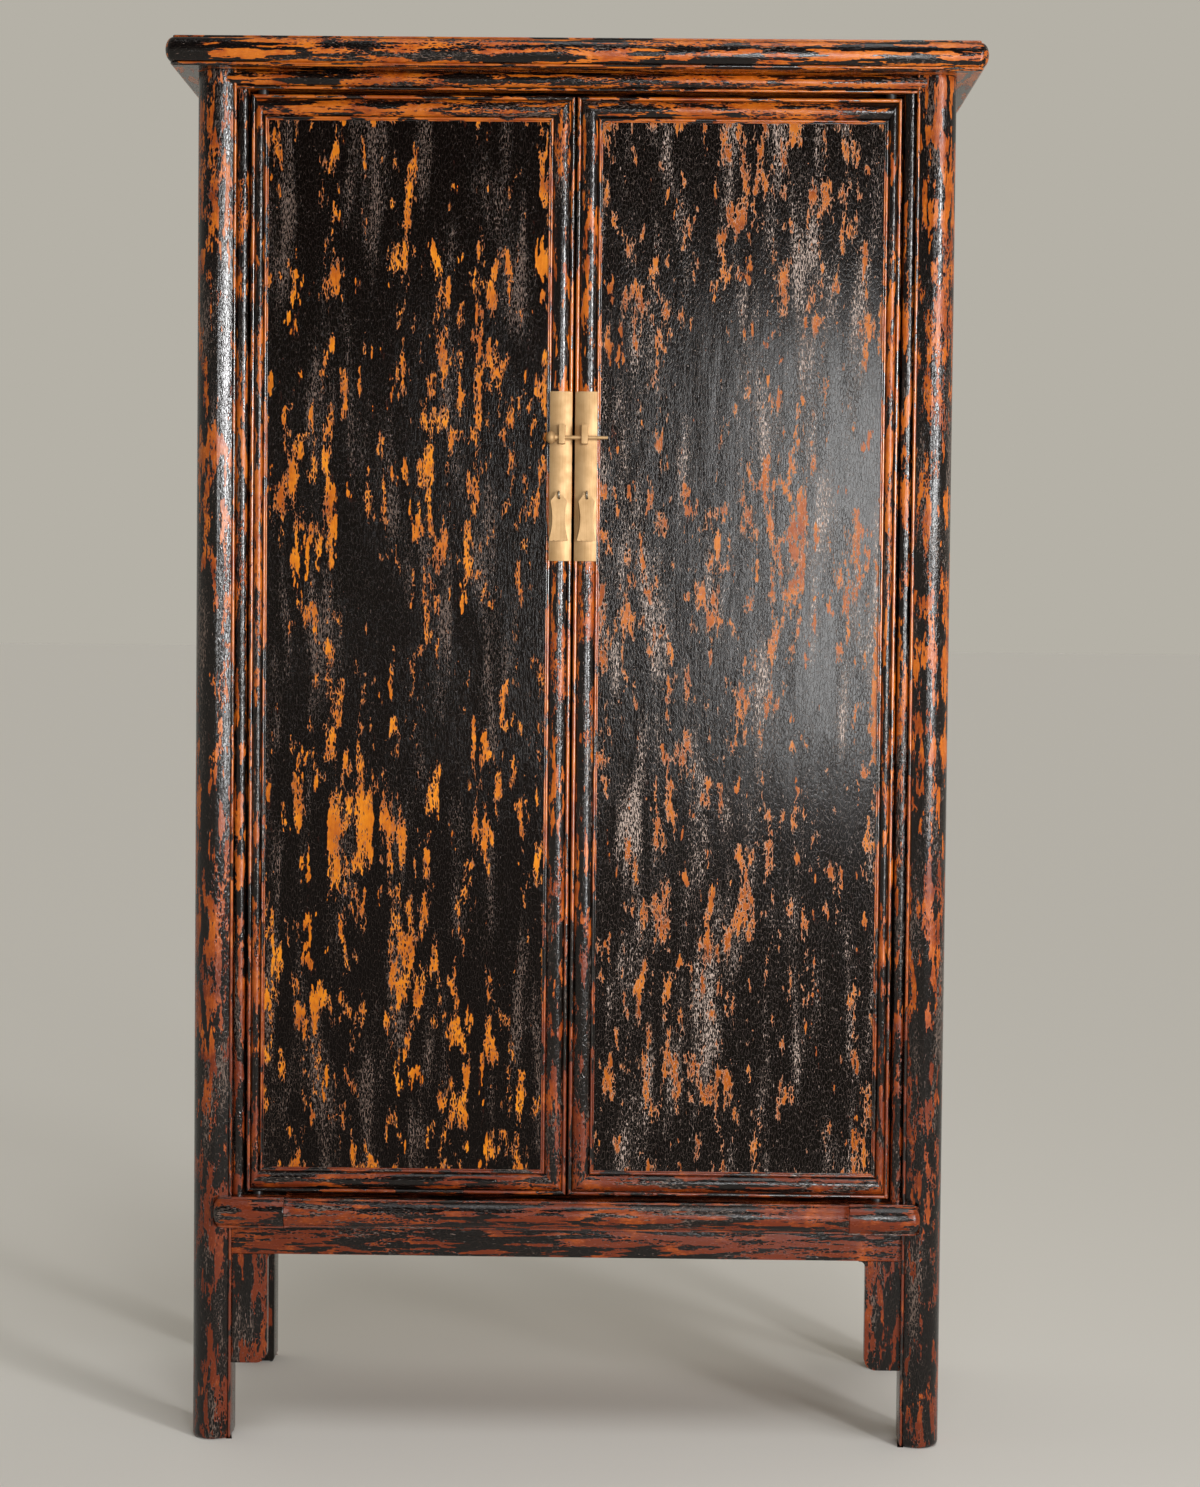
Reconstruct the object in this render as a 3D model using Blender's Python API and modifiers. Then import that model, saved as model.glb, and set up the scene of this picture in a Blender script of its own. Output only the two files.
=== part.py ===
"""Lacquered two-door cabinet of frame-and-panel joinery, in metres.

X runs to the right, the doors face -Y and Z is up from the floor. The origin is on the floor under the
middle of the cabinet. The doors turn on wooden dowels that are one piece with their outer stiles.
"""
import math

import bmesh
import bpy
from mathutils import Matrix, Vector

# Overall sizes and the clearance between pieces that touch
HEIGHT = 1.840
FRAME_WIDTH = 0.992
FRAME_DEPTH = 0.460
FIT = 0.0003

# Posts: round outside, square inside, with a bead along the inner front edge
POST_SIZE = 0.053
POST_ROUND = 0.030
POST_CROWN_SHIFT = 0.004
POST_BEAD = 0.002
POST_BEAD_DROP = 0.004
POST_EASE = 0.003

# Cap: mitred frame with a bull nose between two thin beads, and a sunk panel
CAP_THICKNESS = 0.039
CAP_OVERHANG = 0.0355
CAP_RAIL_WIDTH = 0.085
CAP_NOSE = 0.0095
CAP_BEAD = 0.0015
CAP_CORNER = 0.014
CAP_PANEL_THICKNESS = 0.012
CAP_PANEL_SINK = 0.008

# Joinery
TENON_LENGTH = 0.012
TENON_THICKNESS = 0.012
TENON_SHOULDER = 0.005
GROOVE = 0.006
ROOT = 0.008

# Rails between the posts
TOP_RAIL_HEIGHT = 0.0225
TOP_RAIL_SETBACK = 0.003
TOP_RAIL_ROUND = 0.006
TOP_RAIL_BEAD = 0.0018
FRONT_RAIL_BACK = 0.045
SIDE_RAIL_THICKNESS = 0.040
LEG_CLEAR = 0.286
STRETCHER_HEIGHT = 0.0385
STRETCHER_PROUD = 0.014
STRETCHER_ROUND = 0.018

# Pivot blocks at the ends of the front stretcher, which lap over the posts
BLOCK_LENGTH = 0.0935
BLOCK_LAP = 0.0225
BLOCK_EXTRA = 0.0012
LAP_DEPTH = 0.010

# Apron boards and the spandrels below them
APRON_HEIGHT = 0.039
APRON_THICKNESS = 0.016
APRON_SETBACK = 0.012
SPANDREL_WIDTH = 0.047
SPANDREL_BOTTOM = 0.101
SPANDREL_FILLET = 0.009
SPANDREL_TOE = 0.010

# Panels, shelves and the strips beside the doors
PANEL_THICKNESS = 0.010
FLOOR_THICKNESS = 0.012
FLOOR_DROP = 0.012
MUNTIN_WIDTH = 0.050
MUNTIN_THICKNESS = 0.026
SHELF_NAMES = ("lower", "upper")
SHELF_THICKNESS = 0.018
SHELF_SETBACK = 0.005
BEARER_WIDTH = 0.025
BEARER_HEIGHT = 0.028
BEARER_INSET = 0.013
JAMB_WIDTH = 0.0145
JAMB_DEPTH = 0.030
JAMB_SETBACK = 0.010
JAMB_ROUND = 0.004

# Doors: half-round frame members between two beads, with a panel in a groove
DOOR_THICKNESS = 0.030
DOOR_SETBACK = 0.008
DOOR_SIDE_GAP = 0.003
SWING_CLEARANCE = 0.0008
DOOR_MEETING_GAP = 0.003
DOOR_FOOT_GAP = 0.0055
DOOR_HEAD_GAP = 0.0065
HINGE_STILE = 0.0235
MEETING_STILE = 0.0335
DOOR_RAIL = 0.033
DOOR_BEAD = 0.0022
DOOR_BEAD_DROP = 0.0035
DOOR_QUIRK = 0.0006
DOOR_PANEL_DROP = 0.0075
DOOR_PANEL_THICKNESS = 0.009
BATTEN_HEIGHT = 0.032
BATTEN_SHY = 0.001
PIVOT_RADIUS = 0.007
PIVOT_CLEARANCE = 0.0005
PIVOT_REACH = 0.012
PIVOT_ROOT = 0.003

# Brass: curved lock plates, lugs, a turned pin, and pulls hung on split eyes
PLATE_RISE = 0.837
PLATE_HEIGHT = 0.2215
PLATE_WIDTH = 0.029
PLATE_EDGE = 0.0005
PLATE_THICKNESS = 0.0012
LUG_WIDTH = 0.0085
LUG_HEIGHT = 0.0255
LUG_RISE = 0.165
LUG_PROUD = 0.0155
LUG_OFFSET = 0.0148
LUG_BORE_DROP = 0.0043
LUG_BORE_PROUD = 0.0095
PIN_RADIUS = 0.0025
PIN_TIP_RADIUS = 0.0019
PIN_CLEARANCE = 0.0004
PIN_COLLAR_RADIUS = 0.0033
PIN_LENGTH = 0.0645
PIN_NECK = 0.0035
KNOB_RADIUS = 0.0081
KNOB_HALF = 0.0065
EYE_RISE = 0.0865
EYE_RADIUS = 0.0042
EYE_WIRE = 0.0012
EYE_STANDOFF = 0.0048
EYE_LEG_GAP = 0.0003
EYE_SEAT = 0.0006
PULL_DROP = 0.0605
PULL_THICKNESS = 0.0025
PULL_HOLE = 0.0020
PULL_STRIP = 0.0020
PULL_TOP_WIDTH = 0.009
PULL_SHOULDER_WIDTH = 0.0215
PULL_SHOULDER_DROP = 0.008
PULL_WAIST_WIDTH = 0.0165
PULL_FOOT_WIDTH = 0.0248
PULL_SCALLOPS = 4
PULL_SCALLOP_DEPTH = 0.0012

# How finely the rounds are drawn
ROUND_STEPS = 12
CORNER_STEPS = 6
BEAD_STEPS = 4
RING_STEPS = 20
ROD_SIDES = 24
PIN_SIDES = 16

# Places worked out from the sizes above
FRONT = -FRAME_DEPTH / 2
SIDE = FRAME_WIDTH / 2
POST_IN = SIDE - POST_SIZE
POST_BACK = FRONT + POST_SIZE
SOFFIT = HEIGHT - CAP_THICKNESS
POST_TOP = SOFFIT - FIT
TOP_RAIL_BOTTOM = POST_TOP - TOP_RAIL_HEIGHT
STRETCHER_TOP = LEG_CLEAR + STRETCHER_HEIGHT
BLOCK_BOTTOM = LEG_CLEAR - BLOCK_EXTRA
BLOCK_TOP = STRETCHER_TOP + BLOCK_EXTRA
BLOCK_END = POST_IN + BLOCK_LAP
BLOCK_START = BLOCK_END - BLOCK_LENGTH
RAIL_BACK = FRONT + FRONT_RAIL_BACK
APRON_TOP = BLOCK_BOTTOM - FIT
APRON_BOTTOM = LEG_CLEAR - APRON_HEIGHT
FLOOR_TOP = STRETCHER_TOP - FLOOR_DROP
DOOR_BOTTOM = STRETCHER_TOP + DOOR_FOOT_GAP
DOOR_TOP = TOP_RAIL_BOTTOM - DOOR_HEAD_GAP
DOOR_FRONT = FRONT + DOOR_SETBACK
DOOR_BACK = DOOR_FRONT + DOOR_THICKNESS
DOOR_EDGE = POST_IN - FIT - JAMB_WIDTH - DOOR_SIDE_GAP
HINGE_IN = DOOR_EDGE - HINGE_STILE
MEETING_EDGE = DOOR_MEETING_GAP / 2
MEETING_IN = MEETING_EDGE + MEETING_STILE
MEETING_CROWN = MEETING_EDGE + MEETING_STILE / 2
PIVOT_X = DOOR_EDGE - DOOR_THICKNESS / 2
PIVOT_Y = DOOR_FRONT + DOOR_THICKNESS / 2
PLATE_BOTTOM = DOOR_BOTTOM + PLATE_RISE
PLATE_FRONT = DOOR_FRONT - FIT - PLATE_THICKNESS
LUG_MIDDLE = PLATE_BOTTOM + LUG_RISE
PIN_Z = LUG_MIDDLE - LUG_BORE_DROP
PIN_Y = PLATE_FRONT - LUG_BORE_PROUD
PIN_SHOULDER = -LUG_OFFSET - LUG_WIDTH / 2 - FIT
EYE_Y = PLATE_FRONT - EYE_STANDOFF
EYE_Z = PLATE_BOTTOM + EYE_RISE

for old in list(bpy.data.objects):
    bpy.data.objects.remove(old, do_unlink=True)


def new_collection(name):
    """Add a collection to the scene."""
    collection = bpy.data.collections.new(name)
    bpy.context.scene.collection.children.link(collection)
    return collection


PARTS = new_collection("two_door_cabinet")
CUTTERS = new_collection("cutters")


def finish(name, colour, roughness, metallic=0.0):
    """Make one surface finish."""
    material = bpy.data.materials.new(name)
    material.use_nodes = True
    shader = material.node_tree.nodes["Principled BSDF"]
    shader.inputs["Base Color"].default_value = (*colour, 1.0)
    shader.inputs["Roughness"].default_value = roughness
    shader.inputs["Metallic"].default_value = metallic
    return material


LACQUER = finish("black_lacquer", (0.022, 0.017, 0.014), 0.25)
WORN_LACQUER = finish("worn_red_lacquer", (0.30, 0.07, 0.015), 0.35)
PLAIN_WOOD = finish("plain_elm", (0.33, 0.19, 0.09), 0.65)
BRASS = finish("aged_brass", (0.72, 0.53, 0.27), 0.35, 1.0)
STEEL = finish("eye_steel", (0.55, 0.52, 0.47), 0.4, 1.0)


def arc(u, v, radius, start, stop, steps, radius_v=None):
    """Points on an arc about (u, v) from one angle in degrees to another, both ends included."""
    angles = [math.radians(start + (stop - start) * i / steps) for i in range(steps + 1)]
    tall = radius if radius_v is None else radius_v
    return [(u + radius * math.cos(a), v + tall * math.sin(a)) for a in angles]


def bulge(start, stop, height, steps):
    """Points on an arc that stands height above the chord from start to stop, as depth below its crown."""
    half = (stop - start) / 2
    radius = (half * half + height * height) / (2 * height)
    offsets = [half * (2 * i / steps - 1) for i in range(steps + 1)]
    return [(start + half + d, radius - math.sqrt(radius * radius - d * d)) for d in offsets]


def add_piece(name, mesh, origin, material, parent):
    """Place a mesh modelled in world coordinates as a piece with its own origin."""
    mesh.transform(Matrix.Translation(-Vector(origin)))
    mesh.set_sharp_from_angle(angle=math.radians(35))
    piece = bpy.data.objects.new(name, mesh)
    PARTS.objects.link(piece)
    piece.location = Vector(origin)
    if parent is not None:
        piece.location -= parent.location
        piece.parent = parent
    mesh.materials.append(material)
    return piece


def add_cutter(name, mesh):
    """Keep a mesh as a hidden shape for Boolean modifiers."""
    cutter = bpy.data.objects.new(name, mesh)
    CUTTERS.objects.link(cutter)
    cutter.hide_render = True
    cutter.display_type = "WIRE"
    return cutter


def combine(piece, cutter, operation):
    """Cut a shape out of a piece, join it on, or keep only what lies in both."""
    modifier = piece.modifiers.new(f"{operation.lower()}_{cutter.name}", "BOOLEAN")
    modifier.object = cutter
    modifier.operation = operation
    modifier.solver = "EXACT"


def mesh_from(bm, name):
    """Turn a bmesh into a mesh whose faces point out."""
    bmesh.ops.remove_doubles(bm, verts=bm.verts, dist=0.000001)
    bmesh.ops.recalc_face_normals(bm, faces=bm.faces)
    mesh = bpy.data.meshes.new(name)
    bm.to_mesh(mesh)
    bm.free()
    return mesh


def box_mesh(name, low, high):
    """Mesh of a box between two corners."""
    bm = bmesh.new()
    size = Vector(high) - Vector(low)
    middle = (Vector(high) + Vector(low)) / 2
    bmesh.ops.create_cube(bm, size=1.0, matrix=Matrix.Translation(middle) @ Matrix.Diagonal((*size, 1.0)))
    return mesh_from(bm, name)


def rod_mesh(name, start, stop, radius):
    """Mesh of a round rod between two points on a line along one axis."""
    along = Vector(stop) - Vector(start)
    turn = along.to_track_quat("Z", "Y").to_matrix().to_4x4()
    middle = (Vector(start) + Vector(stop)) / 2
    bm = bmesh.new()
    bmesh.ops.create_cone(bm, cap_ends=True, segments=ROD_SIDES, radius1=radius, radius2=radius,
                          depth=along.length, matrix=Matrix.Translation(middle) @ turn)
    return mesh_from(bm, name)


def curve_mesh(name, curve):
    """Mesh of a curve, with its caps welded on."""
    holder = bpy.data.objects.new(name, curve)
    bpy.context.scene.collection.objects.link(holder)
    graph = bpy.context.evaluated_depsgraph_get()
    mesh = bpy.data.meshes.new_from_object(holder.evaluated_get(graph))
    bpy.data.objects.remove(holder, do_unlink=True)
    bpy.data.curves.remove(curve)
    bm = bmesh.new()
    bm.from_mesh(mesh)
    bpy.data.meshes.remove(mesh)
    return mesh_from(bm, name)


def prism_mesh(name, outlines, axis, start, stop):
    """Mesh of outlines given across one axis and carried along it from start to stop.

    Across X an outline gives (Y, Z), across Y it gives (Z, X) and across Z it gives (X, Y).
    """
    curve = bpy.data.curves.new(name, "CURVE")
    curve.dimensions = "2D"
    curve.fill_mode = "BOTH"
    curve.extrude = (stop - start) / 2
    for outline in outlines:
        spline = curve.splines.new("POLY")
        spline.points.add(len(outline) - 1)
        for point, (u, v) in zip(spline.points, outline):
            point.co = (u, v, 0.0, 1.0)
        spline.use_cyclic_u = True
    mesh = curve_mesh(name, curve)
    middle = (start + stop) / 2
    to_world = {"X": Matrix(((0, 0, 1, middle), (1, 0, 0, 0), (0, 1, 0, 0), (0, 0, 0, 1))),
                "Y": Matrix(((0, 1, 0, 0), (0, 0, 1, middle), (1, 0, 0, 0), (0, 0, 0, 1))),
                "Z": Matrix.Translation((0, 0, middle))}
    mesh.transform(to_world[axis])
    return mesh


def centre_of(mesh):
    """Middle of a mesh's box."""
    corners = [vertex.co for vertex in mesh.vertices]
    low = Vector([min(c[i] for c in corners) for i in range(3)])
    high = Vector([max(c[i] for c in corners) for i in range(3)])
    return (low + high) / 2


def prism(name, outline, axis, start, stop, material, parent=None):
    """Piece of one outline carried along one axis."""
    mesh = prism_mesh(name, [outline], axis, start, stop)
    return add_piece(name, mesh, centre_of(mesh), material, parent)


def block(name, low, high, material, parent=None):
    """Piece that is a plain box."""
    mesh = box_mesh(name, low, high)
    return add_piece(name, mesh, centre_of(mesh), material, parent)


def sided(side, low, high):
    """Corners of a box given for the right side, moved to the side that is asked for."""
    xs = sorted((side * low[0], side * high[0]))
    return (xs[0], low[1], low[2]), (xs[1], high[1], high[2])


def house(name, low, high, hosts):
    """Cut room for a box, with its clearance, out of each host."""
    room = Vector((FIT, FIT, FIT))
    cutter = add_cutter(f"{name}_housing", box_mesh(name, Vector(low) - room, Vector(high) + room))
    for host in hosts:
        combine(host, cutter, "DIFFERENCE")


def tenon(name, rail, low, high, hosts):
    """Join a tenon to a rail and cut its mortise in each host."""
    combine(rail, add_cutter(f"{name}_tenon", box_mesh(name, low, high)), "UNION")
    house(name, low, high, hosts)


def axis_empty(name, place):
    """Empty on the axis that a moving body turns about or slides along."""
    empty = bpy.data.objects.new(name, None)
    PARTS.objects.link(empty)
    empty.location = place
    return empty


SIDES = {"left": -1, "right": 1}
pieces = {}


def post_outline():
    """Section of a front right post in (X, Y) about its centre: bead, round front and side, eased back."""
    half = POST_SIZE / 2
    crown = -POST_CROWN_SHIFT
    level = POST_BEAD_DROP + POST_BEAD
    inner = bulge(2 * POST_BEAD - half, 2 * crown + half - 2 * POST_BEAD, level, ROUND_STEPS)
    points = [(-half, half)]
    points += arc(POST_BEAD - half, level - half, POST_BEAD, 180, 360, BEAD_STEPS)
    points += [(u, v - half) for u, v in inner[1:ROUND_STEPS // 2 + 1]]
    points += arc(crown, POST_ROUND - half, half - crown, -90, 0, ROUND_STEPS, POST_ROUND)[1:]
    points += [(half, half - POST_EASE), (half - POST_EASE, half)]
    return points


def make_posts():
    """Four posts from the floor to the cap, each with a tenon into the cap's mitre."""
    for row, depth in (("front", 1), ("rear", -1)):
        for word, side in SIDES.items():
            x = side * (SIDE - POST_SIZE / 2)
            y = depth * (FRONT + POST_SIZE / 2)
            outline = [(x + side * u, y + depth * v) for u, v in post_outline()]
            name = f"post_{row}_{word}"
            pieces[name] = prism(name, outline, "Z", 0.0, POST_TOP, LACQUER)


def cap_outline():
    """Section of a cap rail as (distance in from its outer edge, height above the soffit)."""
    nose_low = 2 * CAP_BEAD + CAP_BEAD
    nose_high = CAP_THICKNESS - 2 * CAP_BEAD
    nose_half = (nose_high - nose_low) / 2
    points = [(CAP_RAIL_WIDTH, 0.0), (CAP_NOSE, 0.0)]
    points += arc(CAP_NOSE - CAP_BEAD, 2 * CAP_BEAD, CAP_BEAD, 270, 90, BEAD_STEPS)
    points += arc(CAP_NOSE, nose_low + nose_half, CAP_NOSE, 270, 90, ROUND_STEPS, nose_half)
    points += arc(CAP_NOSE / 2, CAP_THICKNESS - CAP_BEAD, CAP_BEAD, 270, 90, BEAD_STEPS)
    points += [(CAP_RAIL_WIDTH, CAP_THICKNESS)]
    return points


def mitre(mesh, along, across, reach, inset):
    """Slide a rail's end points back along its length by their distance in from its outer edge."""
    for vertex in mesh.vertices:
        end = 1 if vertex.co[along] > 0 else -1
        depth = inset - abs(vertex.co[across])
        vertex.co[along] = end * (reach - depth - FIT)


def make_cap():
    """Four mitred rails rounded at the corners, round a panel in a groove."""
    half_x = SIDE + CAP_OVERHANG
    half_y = FRAME_DEPTH / 2 + CAP_OVERHANG
    corners = []
    for u, v, start in ((1, 1, 0), (-1, 1, 90), (-1, -1, 180), (1, -1, 270)):
        x = u * (half_x - CAP_CORNER)
        y = v * (half_y - CAP_CORNER)
        corners += arc(x, y, CAP_CORNER, start, start + 90, CORNER_STEPS)
    form_mesh = prism_mesh("cap_corner_form", [corners], "Z", SOFFIT - FIT, HEIGHT + FIT)
    form = add_cutter("cap_corner_form", form_mesh)
    for row, end in (("front", -1), ("rear", 1)):
        outline = [(end * (half_y - u), SOFFIT + v) for u, v in cap_outline()]
        mesh = prism_mesh(f"cap_rail_{row}", [outline], "X", -half_x, half_x)
        mitre(mesh, 0, 1, half_x, half_y)
        pieces[mesh.name] = add_piece(mesh.name, mesh, centre_of(mesh), WORN_LACQUER, None)
    for word, side in SIDES.items():
        outline = [(SOFFIT + v, side * (half_x - u)) for u, v in cap_outline()]
        mesh = prism_mesh(f"cap_rail_{word}", [outline], "Y", -half_y, half_y)
        mitre(mesh, 1, 0, half_y, half_x)
        pieces[mesh.name] = add_piece(mesh.name, mesh, centre_of(mesh), WORN_LACQUER, None)
    rails = [pieces[f"cap_rail_{word}"] for word in ("front", "rear", "left", "right")]
    for rail in rails:
        combine(rail, form, "INTERSECT")
    reach = CAP_RAIL_WIDTH - GROOVE
    high = Vector((half_x - reach, half_y - reach, HEIGHT - CAP_PANEL_SINK))
    low = Vector((-high.x, -high.y, high.z - CAP_PANEL_THICKNESS))
    pieces["cap_panel"] = block("cap_panel", low, high, LACQUER)
    house("cap_panel", low, high, rails)
    for row, depth in (("front", -1), ("rear", 1)):
        for word, side in SIDES.items():
            name = f"post_{row}_{word}"
            x = side * (SIDE - POST_SIZE / 2)
            y = depth * (FRAME_DEPTH / 2 - POST_SIZE / 2)
            low = (x - TENON_THICKNESS, y - TENON_THICKNESS, POST_TOP - ROOT)
            high = (x + TENON_THICKNESS, y + TENON_THICKNESS, SOFFIT + TENON_LENGTH)
            hosts = [pieces[f"cap_rail_{row}"], pieces[f"cap_rail_{word}"]]
            tenon(f"{name}_cap", pieces[name], low, high, hosts)


def make_front_rails():
    """Half-round rail under the cap, front stretcher, and the pivot blocks at the stretcher's ends."""
    crown = FRONT + TOP_RAIL_SETBACK
    level = TOP_RAIL_ROUND
    outline = [(RAIL_BACK, TOP_RAIL_BOTTOM)]
    bead = arc(TOP_RAIL_BEAD, level, TOP_RAIL_BEAD, 180, 360, BEAD_STEPS)
    round_part = bulge(2 * TOP_RAIL_BEAD, TOP_RAIL_HEIGHT, level, ROUND_STEPS)
    outline += [(crown + depth, TOP_RAIL_BOTTOM + rise) for rise, depth in bead + round_part[1:]]
    outline += [(RAIL_BACK, POST_TOP)]
    end = POST_IN - FIT
    pieces["top_rail_front"] = prism("top_rail_front", outline, "X", -end, end, WORN_LACQUER)

    def stretcher_outline(extra):
        middle = LEG_CLEAR + STRETCHER_HEIGHT / 2
        half = STRETCHER_HEIGHT / 2 + extra
        face = FRONT - STRETCHER_PROUD + STRETCHER_ROUND
        points = [(RAIL_BACK, middle - half)]
        points += arc(face, middle, STRETCHER_ROUND + extra, 270, 90, ROUND_STEPS, half)
        return points + [(RAIL_BACK, middle + half)]

    pieces["stretcher_front"] = prism("stretcher_front", stretcher_outline(0.0), "X", FIT - BLOCK_START,
                                      BLOCK_START - FIT, WORN_LACQUER)
    for word, side in SIDES.items():
        post = pieces[f"post_front_{word}"]
        name = f"pivot_block_{word}"
        start, stop = sorted((side * BLOCK_START, side * BLOCK_END))
        pieces[name] = prism(name, stretcher_outline(BLOCK_EXTRA), "X", start, stop, WORN_LACQUER)
        lap_back = FRONT + LAP_DEPTH
        low, high = sided(side, (POST_IN - FIT, lap_back, BLOCK_BOTTOM - ROOT),
                          (BLOCK_END + ROOT, RAIL_BACK + ROOT, BLOCK_TOP + ROOT))
        combine(pieces[name], add_cutter(f"{name}_lap", box_mesh(name, low, high)), "DIFFERENCE")
        low, high = sided(side, (POST_IN - ROOT, FRONT - STRETCHER_PROUD - ROOT, BLOCK_BOTTOM),
                          (BLOCK_END, lap_back, BLOCK_TOP))
        house(f"{name}_lap", low, high, [post])
        low, high = sided(side, (POST_IN - ROOT, lap_back + ROOT, BLOCK_BOTTOM + TENON_SHOULDER),
                          (POST_IN + TENON_LENGTH, lap_back + ROOT + TENON_THICKNESS,
                           BLOCK_TOP - TENON_SHOULDER))
        tenon(name, pieces[name], low, high, [post])
        low, high = sided(side, (BLOCK_START - ROOT, lap_back + ROOT, LEG_CLEAR + TENON_SHOULDER),
                          (BLOCK_START + TENON_LENGTH, lap_back + ROOT + TENON_THICKNESS,
                           STRETCHER_TOP - TENON_SHOULDER))
        tenon(f"stretcher_{word}", pieces["stretcher_front"], low, high, [pieces[name]])
        low, high = sided(side, (POST_IN - ROOT, lap_back + ROOT, TOP_RAIL_BOTTOM + TENON_SHOULDER),
                          (POST_IN + TENON_LENGTH, lap_back + ROOT + TENON_THICKNESS,
                           POST_TOP - TENON_SHOULDER))
        tenon(f"top_rail_{word}", pieces["top_rail_front"], low, high, [post])


def make_plain_rails():
    """Rails at the sides and the back, above and below the panels."""
    outer = POST_IN + SIDE_RAIL_THICKNESS
    middle_x = POST_IN + SIDE_RAIL_THICKNESS / 2
    middle_y = -FRONT - POST_SIZE / 2
    half = TENON_THICKNESS / 2
    for level, low_z, high_z in (("bottom", LEG_CLEAR, STRETCHER_TOP), ("top", TOP_RAIL_BOTTOM, POST_TOP)):
        low_t = low_z + TENON_SHOULDER
        high_t = high_z - TENON_SHOULDER
        for word, side in SIDES.items():
            name = f"{level}_rail_{word}"
            low, high = sided(side, (POST_IN, POST_BACK + FIT, low_z), (outer, -POST_BACK - FIT, high_z))
            pieces[name] = block(name, low, high, LACQUER)
            for row, end in (("front", -1), ("rear", 1)):
                ys = sorted((end * (-POST_BACK - ROOT), end * (TENON_LENGTH - POST_BACK)))
                low, high = sided(side, (middle_x - half, ys[0], low_t), (middle_x + half, ys[1], high_t))
                tenon(f"{name}_{row}", pieces[name], low, high, [pieces[f"post_{row}_{word}"]])
        name = f"{level}_rail_rear"
        low = (FIT - POST_IN, middle_y - SIDE_RAIL_THICKNESS / 2, low_z)
        high = (POST_IN - FIT, middle_y + SIDE_RAIL_THICKNESS / 2, high_z)
        pieces[name] = block(name, low, high, LACQUER)
        for word, side in SIDES.items():
            low, high = sided(side, (POST_IN - ROOT, middle_y - half, low_t),
                              (POST_IN + TENON_LENGTH, middle_y + half, high_t))
            tenon(f"{name}_{word}", pieces[name], low, high, [pieces[f"post_rear_{word}"]])


def make_aprons():
    """Boards under the stretcher and the side rails, and spandrels that run down the front posts."""
    face = FRONT + APRON_SETBACK
    back = face + APRON_THICKNESS
    reach = POST_IN + GROOVE
    fronts = [pieces["post_front_left"], pieces["post_front_right"]]
    low = (-reach, face, APRON_BOTTOM)
    high = (reach, back, APRON_TOP)
    pieces["apron_front"] = block("apron_front", low, high, WORN_LACQUER)
    house("apron_front", low, high, fronts)
    for word, side in SIDES.items():
        outer = POST_IN - FIT
        inner = POST_IN - SPANDREL_WIDTH
        top = APRON_BOTTOM - FIT
        points = [(outer, SPANDREL_BOTTOM)]
        toe = SPANDREL_BOTTOM + SPANDREL_TOE
        points += arc(inner + SPANDREL_TOE, toe, SPANDREL_TOE, 270, 180, CORNER_STEPS)
        points += arc(inner - SPANDREL_FILLET, top - SPANDREL_FILLET, SPANDREL_FILLET, 0, 90, CORNER_STEPS)
        points += [(outer, top)]
        name = f"spandrel_{word}"
        pieces[name] = prism(name, [(z, side * x) for x, z in points], "Y", face, back, WORN_LACQUER)
        middle = SIDE - POST_SIZE / 2
        low, high = sided(side, (middle - APRON_THICKNESS / 2, POST_BACK - GROOVE, APRON_BOTTOM),
                          (middle + APRON_THICKNESS / 2, GROOVE - POST_BACK, LEG_CLEAR - FIT))
        pieces[f"apron_{word}"] = block(f"apron_{word}", low, high, LACQUER)
        house(f"apron_{word}", low, high, [pieces[f"post_front_{word}"], pieces[f"post_rear_{word}"]])


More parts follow.
